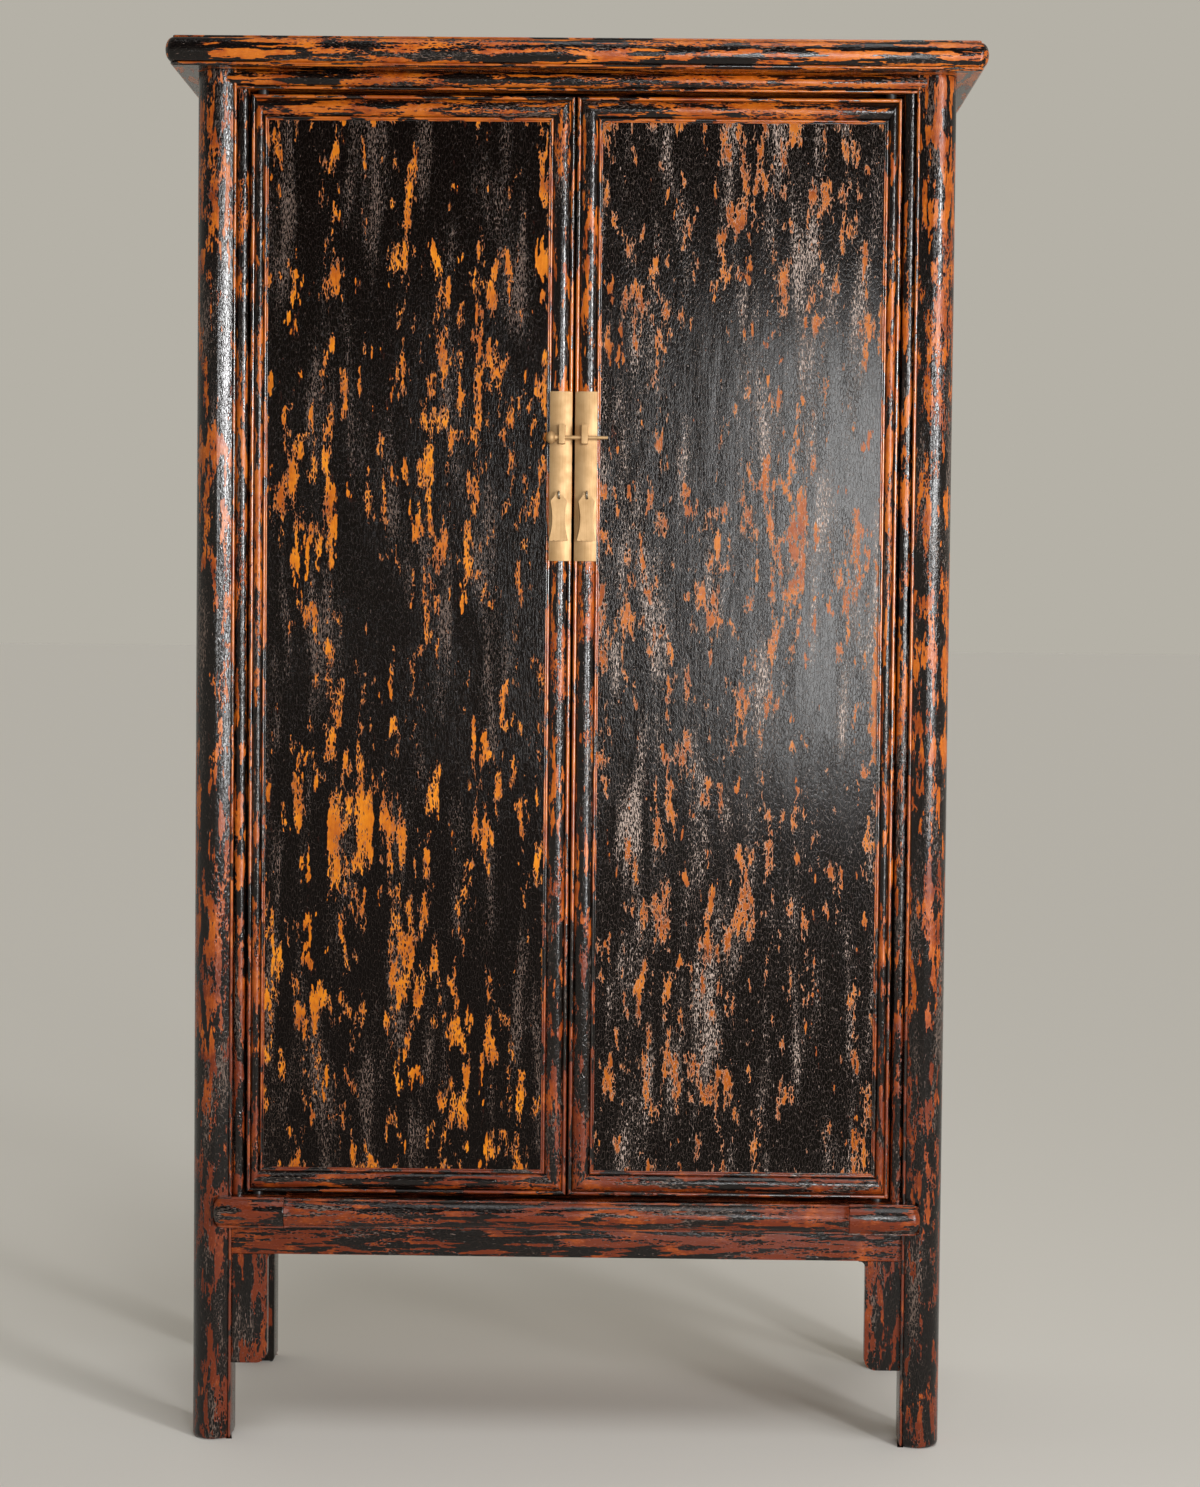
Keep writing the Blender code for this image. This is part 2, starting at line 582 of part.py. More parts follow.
def make_panels():
    """Side panels, back panels on a muntin, and the floor, all let into grooves."""
    half = PANEL_THICKNESS / 2
    middle_x = SIDE - POST_SIZE / 2
    middle_y = -FRONT - POST_SIZE / 2
    low_z = STRETCHER_TOP - GROOVE
    high_z = TOP_RAIL_BOTTOM + GROOVE
    rear_rails = [pieces["bottom_rail_rear"], pieces["top_rail_rear"]]
    low = (-MUNTIN_WIDTH / 2, middle_y - MUNTIN_THICKNESS / 2, STRETCHER_TOP + FIT)
    high = (MUNTIN_WIDTH / 2, middle_y + MUNTIN_THICKNESS / 2, TOP_RAIL_BOTTOM - FIT)
    muntin = block("back_muntin", low, high, PLAIN_WOOD)
    pieces["back_muntin"] = muntin
    wide = MUNTIN_WIDTH / 2 - GROOVE
    for name, z, end, rail in (("muntin_foot", STRETCHER_TOP, -1, rear_rails[0]),
                               ("muntin_head", TOP_RAIL_BOTTOM, 1, rear_rails[1])):
        zs = sorted((z - end * ROOT, z + end * TENON_LENGTH))
        low = (GROOVE - wide, middle_y - half, zs[0])
        high = (wide - GROOVE, middle_y + half, zs[1])
        tenon(name, muntin, low, high, [rail])
    for word, side in SIDES.items():
        low, high = sided(side, (middle_x - half, POST_BACK - GROOVE, low_z),
                          (middle_x + half, GROOVE - POST_BACK, high_z))
        pieces[f"side_panel_{word}"] = block(f"side_panel_{word}", low, high, LACQUER)
        posts = [pieces[f"post_front_{word}"], pieces[f"post_rear_{word}"]]
        rails = [pieces[f"bottom_rail_{word}"], pieces[f"top_rail_{word}"]]
        house(f"side_panel_{word}", low, high, posts + rails)
        low, high = sided(side, (wide, middle_y - half, low_z), (POST_IN + GROOVE, middle_y + half, high_z))
        pieces[f"back_panel_{word}"] = block(f"back_panel_{word}", low, high, PLAIN_WOOD)
        house(f"back_panel_{word}", low, high, rear_rails + [muntin, pieces[f"post_rear_{word}"]])
    reach_x = POST_IN + GROOVE
    rear_face = middle_y - SIDE_RAIL_THICKNESS / 2
    low = (-reach_x, RAIL_BACK - GROOVE, FLOOR_TOP - FLOOR_THICKNESS)
    high = (reach_x, rear_face + GROOVE, FLOOR_TOP)
    pieces["floor_panel"] = block("floor_panel", low, high, PLAIN_WOOD)
    hosts = ["stretcher_front", "pivot_block_left", "pivot_block_right",
             "bottom_rail_left", "bottom_rail_right", "bottom_rail_rear",
             "post_front_left", "post_front_right", "post_rear_left", "post_rear_right"]
    house("floor_panel", low, high, [pieces[name] for name in hosts])


def make_shelves():
    """Shelves that lie on bearers let into the posts at both sides."""
    clear = TOP_RAIL_BOTTOM - FLOOR_TOP
    for place, word in enumerate(SHELF_NAMES, 1):
        top = FLOOR_TOP + clear * place / (len(SHELF_NAMES) + 1)
        under = top - SHELF_THICKNESS
        low = (SHELF_SETBACK - POST_IN, POST_BACK + SHELF_SETBACK, under)
        high = (POST_IN - SHELF_SETBACK, -POST_BACK - SHELF_SETBACK, top)
        pieces[f"shelf_{word}"] = block(f"shelf_{word}", low, high, PLAIN_WOOD)
        for hand, side in SIDES.items():
            inner = POST_IN - BEARER_INSET
            low, high = sided(side, (inner, POST_BACK - GROOVE, under - FIT - BEARER_HEIGHT),
                              (inner + BEARER_WIDTH, GROOVE - POST_BACK, under - FIT))
            name = f"shelf_bearer_{word}_{hand}"
            pieces[name] = block(name, low, high, PLAIN_WOOD)
            house(name, low, high, [pieces[f"post_front_{hand}"], pieces[f"post_rear_{hand}"]])


def make_jambs():
    """Strips with a round front between the posts and the doors."""
    inner = POST_IN - FIT - JAMB_WIDTH
    outer = POST_IN - FIT
    back = FRONT + JAMB_SETBACK + JAMB_DEPTH
    section = [(u, FRONT + JAMB_SETBACK + v) for u, v in bulge(inner, outer, JAMB_ROUND, ROUND_STEPS)]
    section += [(outer, back), (inner, back)]
    for word, side in SIDES.items():
        outline = [(side * u, v) for u, v in section]
        name = f"jamb_{word}"
        pieces[name] = prism(name, outline, "Z", BLOCK_TOP + FIT, TOP_RAIL_BOTTOM - FIT, WORN_LACQUER)


def moulded_front(start, stop, width):
    """Front of a door member as (across, depth): a half round up to a bead at its inner edge."""
    level = DOOR_BEAD_DROP + DOOR_BEAD
    deep = min(level, (stop - start) / 2 - 2 * DOOR_QUIRK)
    points = bulge(start + DOOR_QUIRK, stop - DOOR_QUIRK, deep + DOOR_QUIRK, ROUND_STEPS)
    return points + arc(width - DOOR_BEAD, level, DOOR_BEAD, 180, 360, BEAD_STEPS)


def frame_outline(width):
    """Section of a meeting stile or door rail as (in from its outer edge, back from its crown)."""
    level = DOOR_BEAD_DROP + DOOR_BEAD
    points = [(0.0, DOOR_THICKNESS)]
    points += arc(DOOR_BEAD, level, DOOR_BEAD, 180, 360, BEAD_STEPS)
    points += moulded_front(2 * DOOR_BEAD, width - 2 * DOOR_BEAD, width)
    return points + [(width, DOOR_THICKNESS)]


def hinge_outline():
    """Section of a hinge stile: its outer corners and bead stay within a circle about the pivot."""
    half = DOOR_THICKNESS / 2
    sweep = half + DOOR_SIDE_GAP - SWING_CLEARANCE
    level = DOOR_BEAD_DROP + DOOR_BEAD
    bead_place = half - math.sqrt((sweep - DOOR_BEAD) ** 2 - (half - level) ** 2)
    bead_angle = 180 + math.degrees(math.atan2(half - level, half - bead_place))
    flat_angle = math.degrees(math.acos(half / sweep))
    points = arc(half, half, sweep, 90 + flat_angle, 180 - flat_angle, CORNER_STEPS)
    points += arc(half, half, sweep, 180 + flat_angle, bead_angle, BEAD_STEPS)
    points += arc(bead_place, level, DOOR_BEAD, bead_angle, 360, BEAD_STEPS)[1:]
    points += moulded_front(bead_place + DOOR_BEAD, HINGE_STILE - 2 * DOOR_BEAD, HINGE_STILE)
    return points + [(HINGE_STILE, DOOR_THICKNESS)]


def make_door(word, side):
    """One door: hinge stile with its pivots, meeting stile, rails, panel and batten."""
    axis = axis_empty(f"{word}_door_axis", (side * PIVOT_X, PIVOT_Y, 0.0))
    prefix = f"{word}_door"

    def member(name, outline, direction, start, stop):
        pieces[name] = prism(name, outline, direction, start, stop, WORN_LACQUER, axis)
        return pieces[name]

    outline = [(side * (DOOR_EDGE - u), DOOR_FRONT + v) for u, v in hinge_outline()]
    hinge = member(f"{prefix}_hinge_stile", outline, "Z", DOOR_BOTTOM, DOOR_TOP)
    outline = [(side * (MEETING_EDGE + u), DOOR_FRONT + v) for u, v in frame_outline(MEETING_STILE)]
    meeting = member(f"{prefix}_meeting_stile", outline, "Z", DOOR_BOTTOM, DOOR_TOP)
    ends = sorted((side * (MEETING_IN + FIT), side * (HINGE_IN - FIT)))
    rails = []
    for level, edge, up in (("top", DOOR_TOP, -1), ("bottom", DOOR_BOTTOM, 1)):
        outline = [(DOOR_FRONT + v, edge + up * u) for u, v in frame_outline(DOOR_RAIL)]
        rail = member(f"{prefix}_{level}_rail", outline, "X", *ends)
        rails.append(rail)
        zs = sorted((edge + up * (DOOR_RAIL - GROOVE - TENON_SHOULDER), edge + up * TENON_SHOULDER))
        ys = (DOOR_BACK - TENON_SHOULDER - TENON_THICKNESS, DOOR_BACK - TENON_SHOULDER)
        for end, host, low_x, high_x in (
                ("hinge", hinge, HINGE_IN - ROOT, HINGE_IN + TENON_LENGTH / 2),
                ("meeting", meeting, MEETING_IN - TENON_LENGTH, MEETING_IN + ROOT)):
            low, high = sided(side, (low_x, ys[0], zs[0]), (high_x, ys[1], zs[1]))
            tenon(f"{prefix}_{level}_{end}", rail, low, high, [host])

    panel_front = DOOR_FRONT + DOOR_PANEL_DROP
    panel_back = panel_front + DOOR_PANEL_THICKNESS
    low, high = sided(side, (MEETING_IN - GROOVE, panel_front, DOOR_BOTTOM + DOOR_RAIL - GROOVE),
                      (HINGE_IN + GROOVE, panel_back, DOOR_TOP - DOOR_RAIL + GROOVE))
    pieces[f"{prefix}_panel"] = block(f"{prefix}_panel", low, high, LACQUER, axis)
    house(f"{prefix}_panel", low, high, [hinge, meeting] + rails)
    middle = (DOOR_BOTTOM + DOOR_TOP) / 2
    low, high = sided(side, (MEETING_IN - GROOVE, panel_back + FIT, middle - BATTEN_HEIGHT / 2),
                      (HINGE_IN + GROOVE, DOOR_BACK - BATTEN_SHY, middle + BATTEN_HEIGHT / 2))
    pieces[f"{prefix}_batten"] = block(f"{prefix}_batten", low, high, PLAIN_WOOD, axis)
    house(f"{prefix}_batten", low, high, [hinge, meeting])

    foot_host = pieces[f"pivot_block_{word}"]
    head_host = pieces["top_rail_front"]
    for end, inside, tip, host, room in (
            ("foot", DOOR_BOTTOM + PIVOT_ROOT, BLOCK_TOP - PIVOT_REACH, foot_host, -FIT),
            ("head", DOOR_TOP - PIVOT_ROOT, TOP_RAIL_BOTTOM + PIVOT_REACH, head_host, FIT)):
        name = f"{prefix}_{end}_pivot"
        inner_end = Vector((side * PIVOT_X, PIVOT_Y, inside))
        dowel_end = Vector((side * PIVOT_X, PIVOT_Y, tip))
        socket_end = Vector((side * PIVOT_X, PIVOT_Y, tip + room))
        dowel = rod_mesh(name, inner_end, dowel_end, PIVOT_RADIUS)
        combine(hinge, add_cutter(name, dowel), "UNION")
        socket = rod_mesh(f"{name}_socket", inner_end, socket_end, PIVOT_RADIUS + PIVOT_CLEARANCE)
        combine(host, add_cutter(f"{name}_socket", socket), "DIFFERENCE")
    make_plate(word, side, axis, meeting)


def make_plate(word, side, axis, stile):
    """Brass plate over the round of a meeting stile, with its lug, split eye and pull."""
    bead_reach = MEETING_STILE / 2 - DOOR_BEAD
    radius = (bead_reach * bead_reach + DOOR_BEAD_DROP * DOOR_BEAD_DROP) / (2 * DOOR_BEAD_DROP)
    first = PLATE_EDGE - MEETING_STILE / 2
    offsets = [first + PLATE_WIDTH * i / ROUND_STEPS for i in range(ROUND_STEPS + 1)]
    falls = [radius - math.sqrt(radius * radius - d * d) for d in offsets]
    face = [(side * (MEETING_CROWN + d), PLATE_FRONT + fall) for d, fall in zip(offsets, falls)]
    under = [(x, y + PLATE_THICKNESS) for x, y in reversed(face)]
    name = f"{word}_lock_plate"
    plate = prism(name, face + under, "Z", PLATE_BOTTOM, PLATE_BOTTOM + PLATE_HEIGHT, BRASS, axis)
    pieces[name] = plate

    lug_low = (LUG_OFFSET - LUG_WIDTH / 2, PLATE_FRONT - LUG_PROUD, LUG_MIDDLE - LUG_HEIGHT / 2)
    lug_high = (LUG_OFFSET + LUG_WIDTH / 2, DOOR_FRONT + TENON_LENGTH, LUG_MIDDLE + LUG_HEIGHT / 2)
    low, high = sided(side, lug_low, lug_high)
    lug = block(f"{word}_lock_lug", low, high, BRASS, axis)
    pieces[f"{word}_lock_lug"] = lug
    house(f"{word}_lock_lug", low, high, [plate, stile])
    bore = rod_mesh(f"{word}_lug_bore", (low[0] - ROOT, PIN_Y, PIN_Z), (high[0] + ROOT, PIN_Y, PIN_Z),
                    PIN_RADIUS + PIN_CLEARANCE)
    combine(lug, add_cutter(f"{word}_lug_bore", bore), "DIFFERENCE")

    x = side * MEETING_CROWN
    make_eye(word, x, axis, plate, stile)
    make_pull(word, x)


def make_eye(word, x, axis, plate, stile):
    """Split eye bent from one wire: two legs through the plate and a ring in front of it."""
    leg = EYE_WIRE + EYE_LEG_GAP / 2
    open_angle = math.degrees(math.asin(leg / EYE_RADIUS))
    ring = arc(EYE_Y, EYE_Z, EYE_RADIUS, open_angle, 360 - open_angle, RING_STEPS)
    deep = DOOR_FRONT + TENON_LENGTH
    route = [(deep, EYE_Z + leg)] + ring + [(deep, EYE_Z - leg)]
    name = f"{word}_pull_eye"
    curve = bpy.data.curves.new(name, "CURVE")
    curve.dimensions = "3D"
    curve.bevel_depth = EYE_WIRE
    curve.bevel_resolution = 1
    curve.use_fill_caps = True
    spline = curve.splines.new("POLY")
    spline.points.add(len(route) - 1)
    for point, (y, z) in zip(spline.points, route):
        point.co = (x, y, z, 1.0)
    mesh = curve_mesh(name, curve)
    pieces[name] = add_piece(name, mesh, centre_of(mesh), STEEL, axis)
    room = leg + EYE_WIRE + FIT
    hole = rod_mesh(f"{name}_hole", (x, EYE_Y + EYE_RADIUS, EYE_Z), (x, deep + FIT, EYE_Z), room)
    cutter = add_cutter(f"{name}_hole", hole)
    combine(plate, cutter, "DIFFERENCE")
    combine(stile, cutter, "DIFFERENCE")


def pull_outline():
    """Outline of a pull about its eye's centre: narrow top, shoulders, waist and scalloped foot."""
    hole = EYE_WIRE - EYE_RADIUS + EYE_SEAT - PULL_HOLE
    top = hole + PULL_HOLE + PULL_STRIP
    shoulder = top - PULL_SHOULDER_DROP
    foot = PULL_SCALLOP_DEPTH - PULL_DROP
    right = [(PULL_TOP_WIDTH / 2, top)]
    for i in range(ROUND_STEPS + 1):
        share = i / ROUND_STEPS
        straight = PULL_SHOULDER_WIDTH + (PULL_FOOT_WIDTH - PULL_SHOULDER_WIDTH) * share
        hollow = (PULL_SHOULDER_WIDTH + PULL_FOOT_WIDTH) / 2 - PULL_WAIST_WIDTH
        width = straight - hollow * math.sin(math.pi * share)
        right.append((width / 2, shoulder + (foot - shoulder) * share))
    lobe = PULL_FOOT_WIDTH / PULL_SCALLOPS
    edge = []
    for i in range(PULL_SCALLOPS):
        middle = PULL_FOOT_WIDTH / 2 - lobe * (i + 0.5)
        edge += arc(middle, foot, lobe / 2, 0, -180, BEAD_STEPS, PULL_SCALLOP_DEPTH)[1:]
    left = [(-u, v) for u, v in reversed(right)]
    return right + edge[:-1] + left, arc(0.0, hole, PULL_HOLE, 0, 330, 11)


def make_pull(word, x):
    """Flat pull that hangs in its eye and swings about the eye's centre."""
    axis = axis_empty(f"{word}_pull_axis", (x, EYE_Y, EYE_Z))
    outline, hole = pull_outline()
    outlines = [[(EYE_Z + v, x + u) for u, v in points] for points in (outline, hole)]
    name = f"{word}_pull"
    half = PULL_THICKNESS / 2
    mesh = prism_mesh(name, outlines, "Y", EYE_Y - half, EYE_Y + half)
    pieces[name] = add_piece(name, mesh, axis.location, BRASS, axis)


def make_pin():
    """Turned pin through both lugs: faceted ball, cone neck and tapered shank."""
    ball = PIN_NECK + KNOB_HALF
    profile = [(0.0, ball + KNOB_HALF)]
    profile += arc(0.0, ball, KNOB_RADIUS, 70, -60, CORNER_STEPS, KNOB_HALF)
    profile += [(PIN_COLLAR_RADIUS, PIN_NECK / 2), (PIN_COLLAR_RADIUS, 0.0)]
    profile += [(PIN_RADIUS, 0.0), (PIN_RADIUS, -PIN_LENGTH / 2)]
    profile += [(PIN_TIP_RADIUS, -PIN_LENGTH), (0.0, -PIN_LENGTH)]
    mesh = bpy.data.meshes.new("lock_pin")
    bm = bmesh.new()
    corners = [bm.verts.new((radius, 0.0, z)) for radius, z in profile]
    for first, second in zip(corners, corners[1:]):
        bm.edges.new((first, second))
    bm.to_mesh(mesh)
    bm.free()
    pin = bpy.data.objects.new("lock_pin", mesh)
    PARTS.objects.link(pin)
    mesh.materials.append(BRASS)
    pin.location = (PIN_SHOULDER, PIN_Y, PIN_Z)
    pin.rotation_euler = (0.0, -math.pi / 2, 0.0)
    turn = pin.modifiers.new("turn", "SCREW")
    turn.axis = "Z"
    turn.steps = PIN_SIDES
    turn.render_steps = PIN_SIDES
    turn.use_merge_vertices = True
    turn.merge_threshold = 0.00001
    turn.use_smooth_shade = True
    pieces["lock_pin"] = pin


make_posts()
make_cap()
make_front_rails()
make_plain_rails()
make_aprons()
make_panels()
make_shelves()
make_jambs()
for hand, direction in SIDES.items():
    make_door(hand, direction)
make_pin()
bpy.context.view_layer.update()
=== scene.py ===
"""Looks of a lacquered two-door cabinet: worn lacquer on moulded members, brass, and bare elm inside."""

import math

import bmesh
import bpy
import numpy as np
from mathutils import Matrix, Vector


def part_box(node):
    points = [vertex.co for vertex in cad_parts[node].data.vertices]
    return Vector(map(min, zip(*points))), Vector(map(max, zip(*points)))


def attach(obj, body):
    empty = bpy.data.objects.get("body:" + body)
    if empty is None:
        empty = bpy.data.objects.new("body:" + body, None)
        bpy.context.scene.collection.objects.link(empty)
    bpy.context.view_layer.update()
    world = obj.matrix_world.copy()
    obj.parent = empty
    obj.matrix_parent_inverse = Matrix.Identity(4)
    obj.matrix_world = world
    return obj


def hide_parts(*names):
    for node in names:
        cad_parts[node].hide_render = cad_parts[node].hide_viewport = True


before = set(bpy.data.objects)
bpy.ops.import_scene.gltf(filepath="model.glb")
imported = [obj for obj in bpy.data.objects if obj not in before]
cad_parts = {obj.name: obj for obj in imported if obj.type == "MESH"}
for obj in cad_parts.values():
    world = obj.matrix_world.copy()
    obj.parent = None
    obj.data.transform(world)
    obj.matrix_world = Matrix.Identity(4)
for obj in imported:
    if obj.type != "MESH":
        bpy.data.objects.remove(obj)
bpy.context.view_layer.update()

SIDES = {"left": -1.0, "right": 1.0}
AXES = np.eye(3)
X, Y, Z = AXES

# Sizes in metres. An arris is the small round along an edge.
POST_HALF = 0.0265
POST_CROWN = -0.004
POST_ROUND = 0.030
POST_BEAD = 0.002
POST_BULGE = 0.0006
POST_BEAD_LEVEL = 0.0075
POST_BACK_ARRIS = 0.003
POST_INNER_ARRIS = 0.0015
POST_FOOT_EASE = 0.006
REAR_POST_EXTRA = 0.007
CAP_CORNER = 0.014
CAP_NOSE = 0.0095
CAP_BEAD = 0.0015
CAP_RAIL = 0.085
RAIL_BEAD = 0.0018
RAIL_ROUND = 0.006
RAIL_FILLET = 0.0024
RAIL_ARRIS = 0.0006
STRETCHER_DEPTH = 0.018
SEAM = 0.0006
LIP_HEIGHT = 0.0018
LIP_LENGTH = 0.008
LIP_SHARE = 0.02
BLOCK_LENGTH = 0.0935
BLOCK_EASE = (0.0012, 0.0105)
DOOR_RAIL = 0.033
DOOR_THICK = 0.030
DOOR_BEAD = 0.0024
DOOR_LEVEL = 0.0057
DOOR_ARRIS = 0.001
DOOR_CROWN_SHARE = 0.49
INNER_BEAD = 0.0017
INNER_LINE = 0.0009
SWEEP = 0.0172
QUIRK = 0.0006
QUIRK_DEEP = 0.0014
PIVOT_RADIUS = 0.007
PIVOT_ARRIS = 0.0008
JAMB_ROUND = 0.004
BOARD_ARRIS = 0.0012
RAIL_BOARD_ARRIS = 0.003
SHELF_ARRIS = 0.002
THIN_ARRIS = 0.0005
SPANDREL_FILLET = 0.009
SPANDREL_TOE = 0.015
PLATE_RADIUS = 0.032
PLATE_THICK = 0.0012
PLATE_ARRIS = 0.0004
LUG_ARRIS = 0.0007
EYE_RADIUS = 0.0042
EYE_WIRE = 0.0012
EYE_LEG = 1.1 * EYE_WIRE
KNOB_RADIUS = 0.0081
KNOB_HALF = 0.0065
PIN_NECK = np.array([[0.0042, 0.0122], [0.0033, 0.0145], [0.0033, 0.0165]])
PIN_RADIUS = 0.0025
PIN_STRAIGHT = 0.032
PIN_TIP = (0.0019, 0.0015)
PIN_TIP_LENGTH = 0.0004
WELD = 0.00001
SHARP = math.radians(42)
BODY, BEAD, GROOVE = 0, 1, 2


def linear(code):
    """Linear colour of an sRGB hex value."""
    parts = np.array([int(code[i:i + 2], 16) for i in (1, 3, 5)]) / 255.0
    values = np.where(parts <= 0.04045, parts / 12.92, ((parts + 0.055) / 1.055) ** 2.4)
    return (*values.tolist(), 1.0)


def add(tree, kind, sockets=(), out=0, stops=(), **settings):
    """Add a node with its settings, colour stops and links, and return one of its outputs.

    sockets gives inputs, by name or in their order, each a value or the output that feeds it.
    """
    made = tree.nodes.new(f"ShaderNode{kind}")
    for key, value in settings.items():
        setattr(made, key, value)
    for socket, value in sockets.items() if isinstance(sockets, dict) else enumerate(sockets):
        if isinstance(value, bpy.types.NodeSocket):
            tree.links.new(value, made.inputs[socket])
        else:
            made.inputs[socket].default_value = value
    if stops:
        elements = made.color_ramp.elements
        while len(elements) < len(stops):
            elements.new(0.5)
        for element, (place, code) in zip(elements, stops):
            element.position = place
            element.color = linear(code)
    return made.outputs[out] if len(made.outputs) else None


def new_material(name):
    """An empty material and its node tree."""
    material = bpy.data.materials.new(name)
    material.use_nodes = True
    material.node_tree.nodes.clear()
    return material, material.node_tree


def total(tree, start, *terms):
    """Sum of a start value and weighted outputs, each term being (output, weight)."""
    value = start
    for output, weight in terms:
        value = add(tree, "Math", (output, weight, value), operation="MULTIPLY_ADD")
    return value


def per_cell(along, wide, long):
    """Scale at which a cell wide across the grain and long along it, in metres, measures one."""
    scale = [1.0 / wide] * 3
    scale["XYZ".index(along)] = 1.0 / long
    return scale


# Settings that many nodes share: a smooth step between two levels, and a mix of two colours
SMOOTH = {"interpolation_type": "SMOOTHSTEP"}
COLOURS = {"out": 2, "data_type": "RGBA"}

# Lacquer over wood, brushed on black over a red-orange ground coat. It is glossy, it has cracked into small
# cells along the grain, and it flakes off cell by cell, first along the cracks, so the ground coat shows.
# The index of fresh lacquer is about 1.5. The crackled panels mirror less, and beads that hands polish more.
LACQUER_BLACK = "#070302"
LACQUER_THIN = "#32120A"
LACQUER_IOR = 1.24
POLISHED_IOR = 1.44
RUBBED_IOR = 1.7
RED_TONES = ("#6A270A", "#98440E", "#BE6417")
ORANGE_TONES = ("#9A4A14", "#BE6814", "#D88318")
AMBER_TONES = ("#803A10", "#A25417", "#BC6C20")
CAP_TONES = ("#7E3210", "#B05214", "#CE701C")
# Crack colours. The red and orange cracks are the ground coat in a crack. The pale crack and the crackle
# tones are lighter: partly the ground coat, partly painted glint of light on raised crack edges, more on the
# right door.
RED_CRACK = "#7C3A22"
ORANGE_CRACK = "#9A6444"
PALE_CRACK_GLINT = "#B88C72"
DIM_GRAIN_GLINT = "#6A5950"
PALE_GRAIN_GLINT = "#AD9A8F"

# Cells and clouds of the lacquer: width across and length along the grain in metres, and for a cloud its
# shift, detail and roughness. The specks of the finest crackle are drawn wider than real hair cracks, so that
# they show.
CELL = (0.0028, 0.0086)
CLOUDS = {
    "fine": (CELL, 0.0, 2.0, 0.6),
    "speck": ((0.0013, 0.0066), 0.0, 1.0, 0.5),
    "stroke": ((0.0022, 0.090), 0.0, 2.0, 0.5),
    "slow": ((0.030, 0.12), 0.0, 2.0, 0.5),
    "strip": ((0.028, 0.19), 0.0, 2.0, 0.5),
    "column": ((0.030, 0.26), 0.0, 1.0, 0.5),
    "zone": ((0.045, 0.20), 5.0, 2.0, 0.5),
}
WANDER_SCALE = 0.45
WANDER = [1.8, 1.8, 1.8]
FIELDS_PER_METRE = 4.5
TINTS_PER_METRE = 19.0
WEAR_START = -0.40
CRACK_HALF = 0.26
CRACK_REACH = 0.012
NET_REACH = 0.110
RELIEF_DEPTH = 0.001


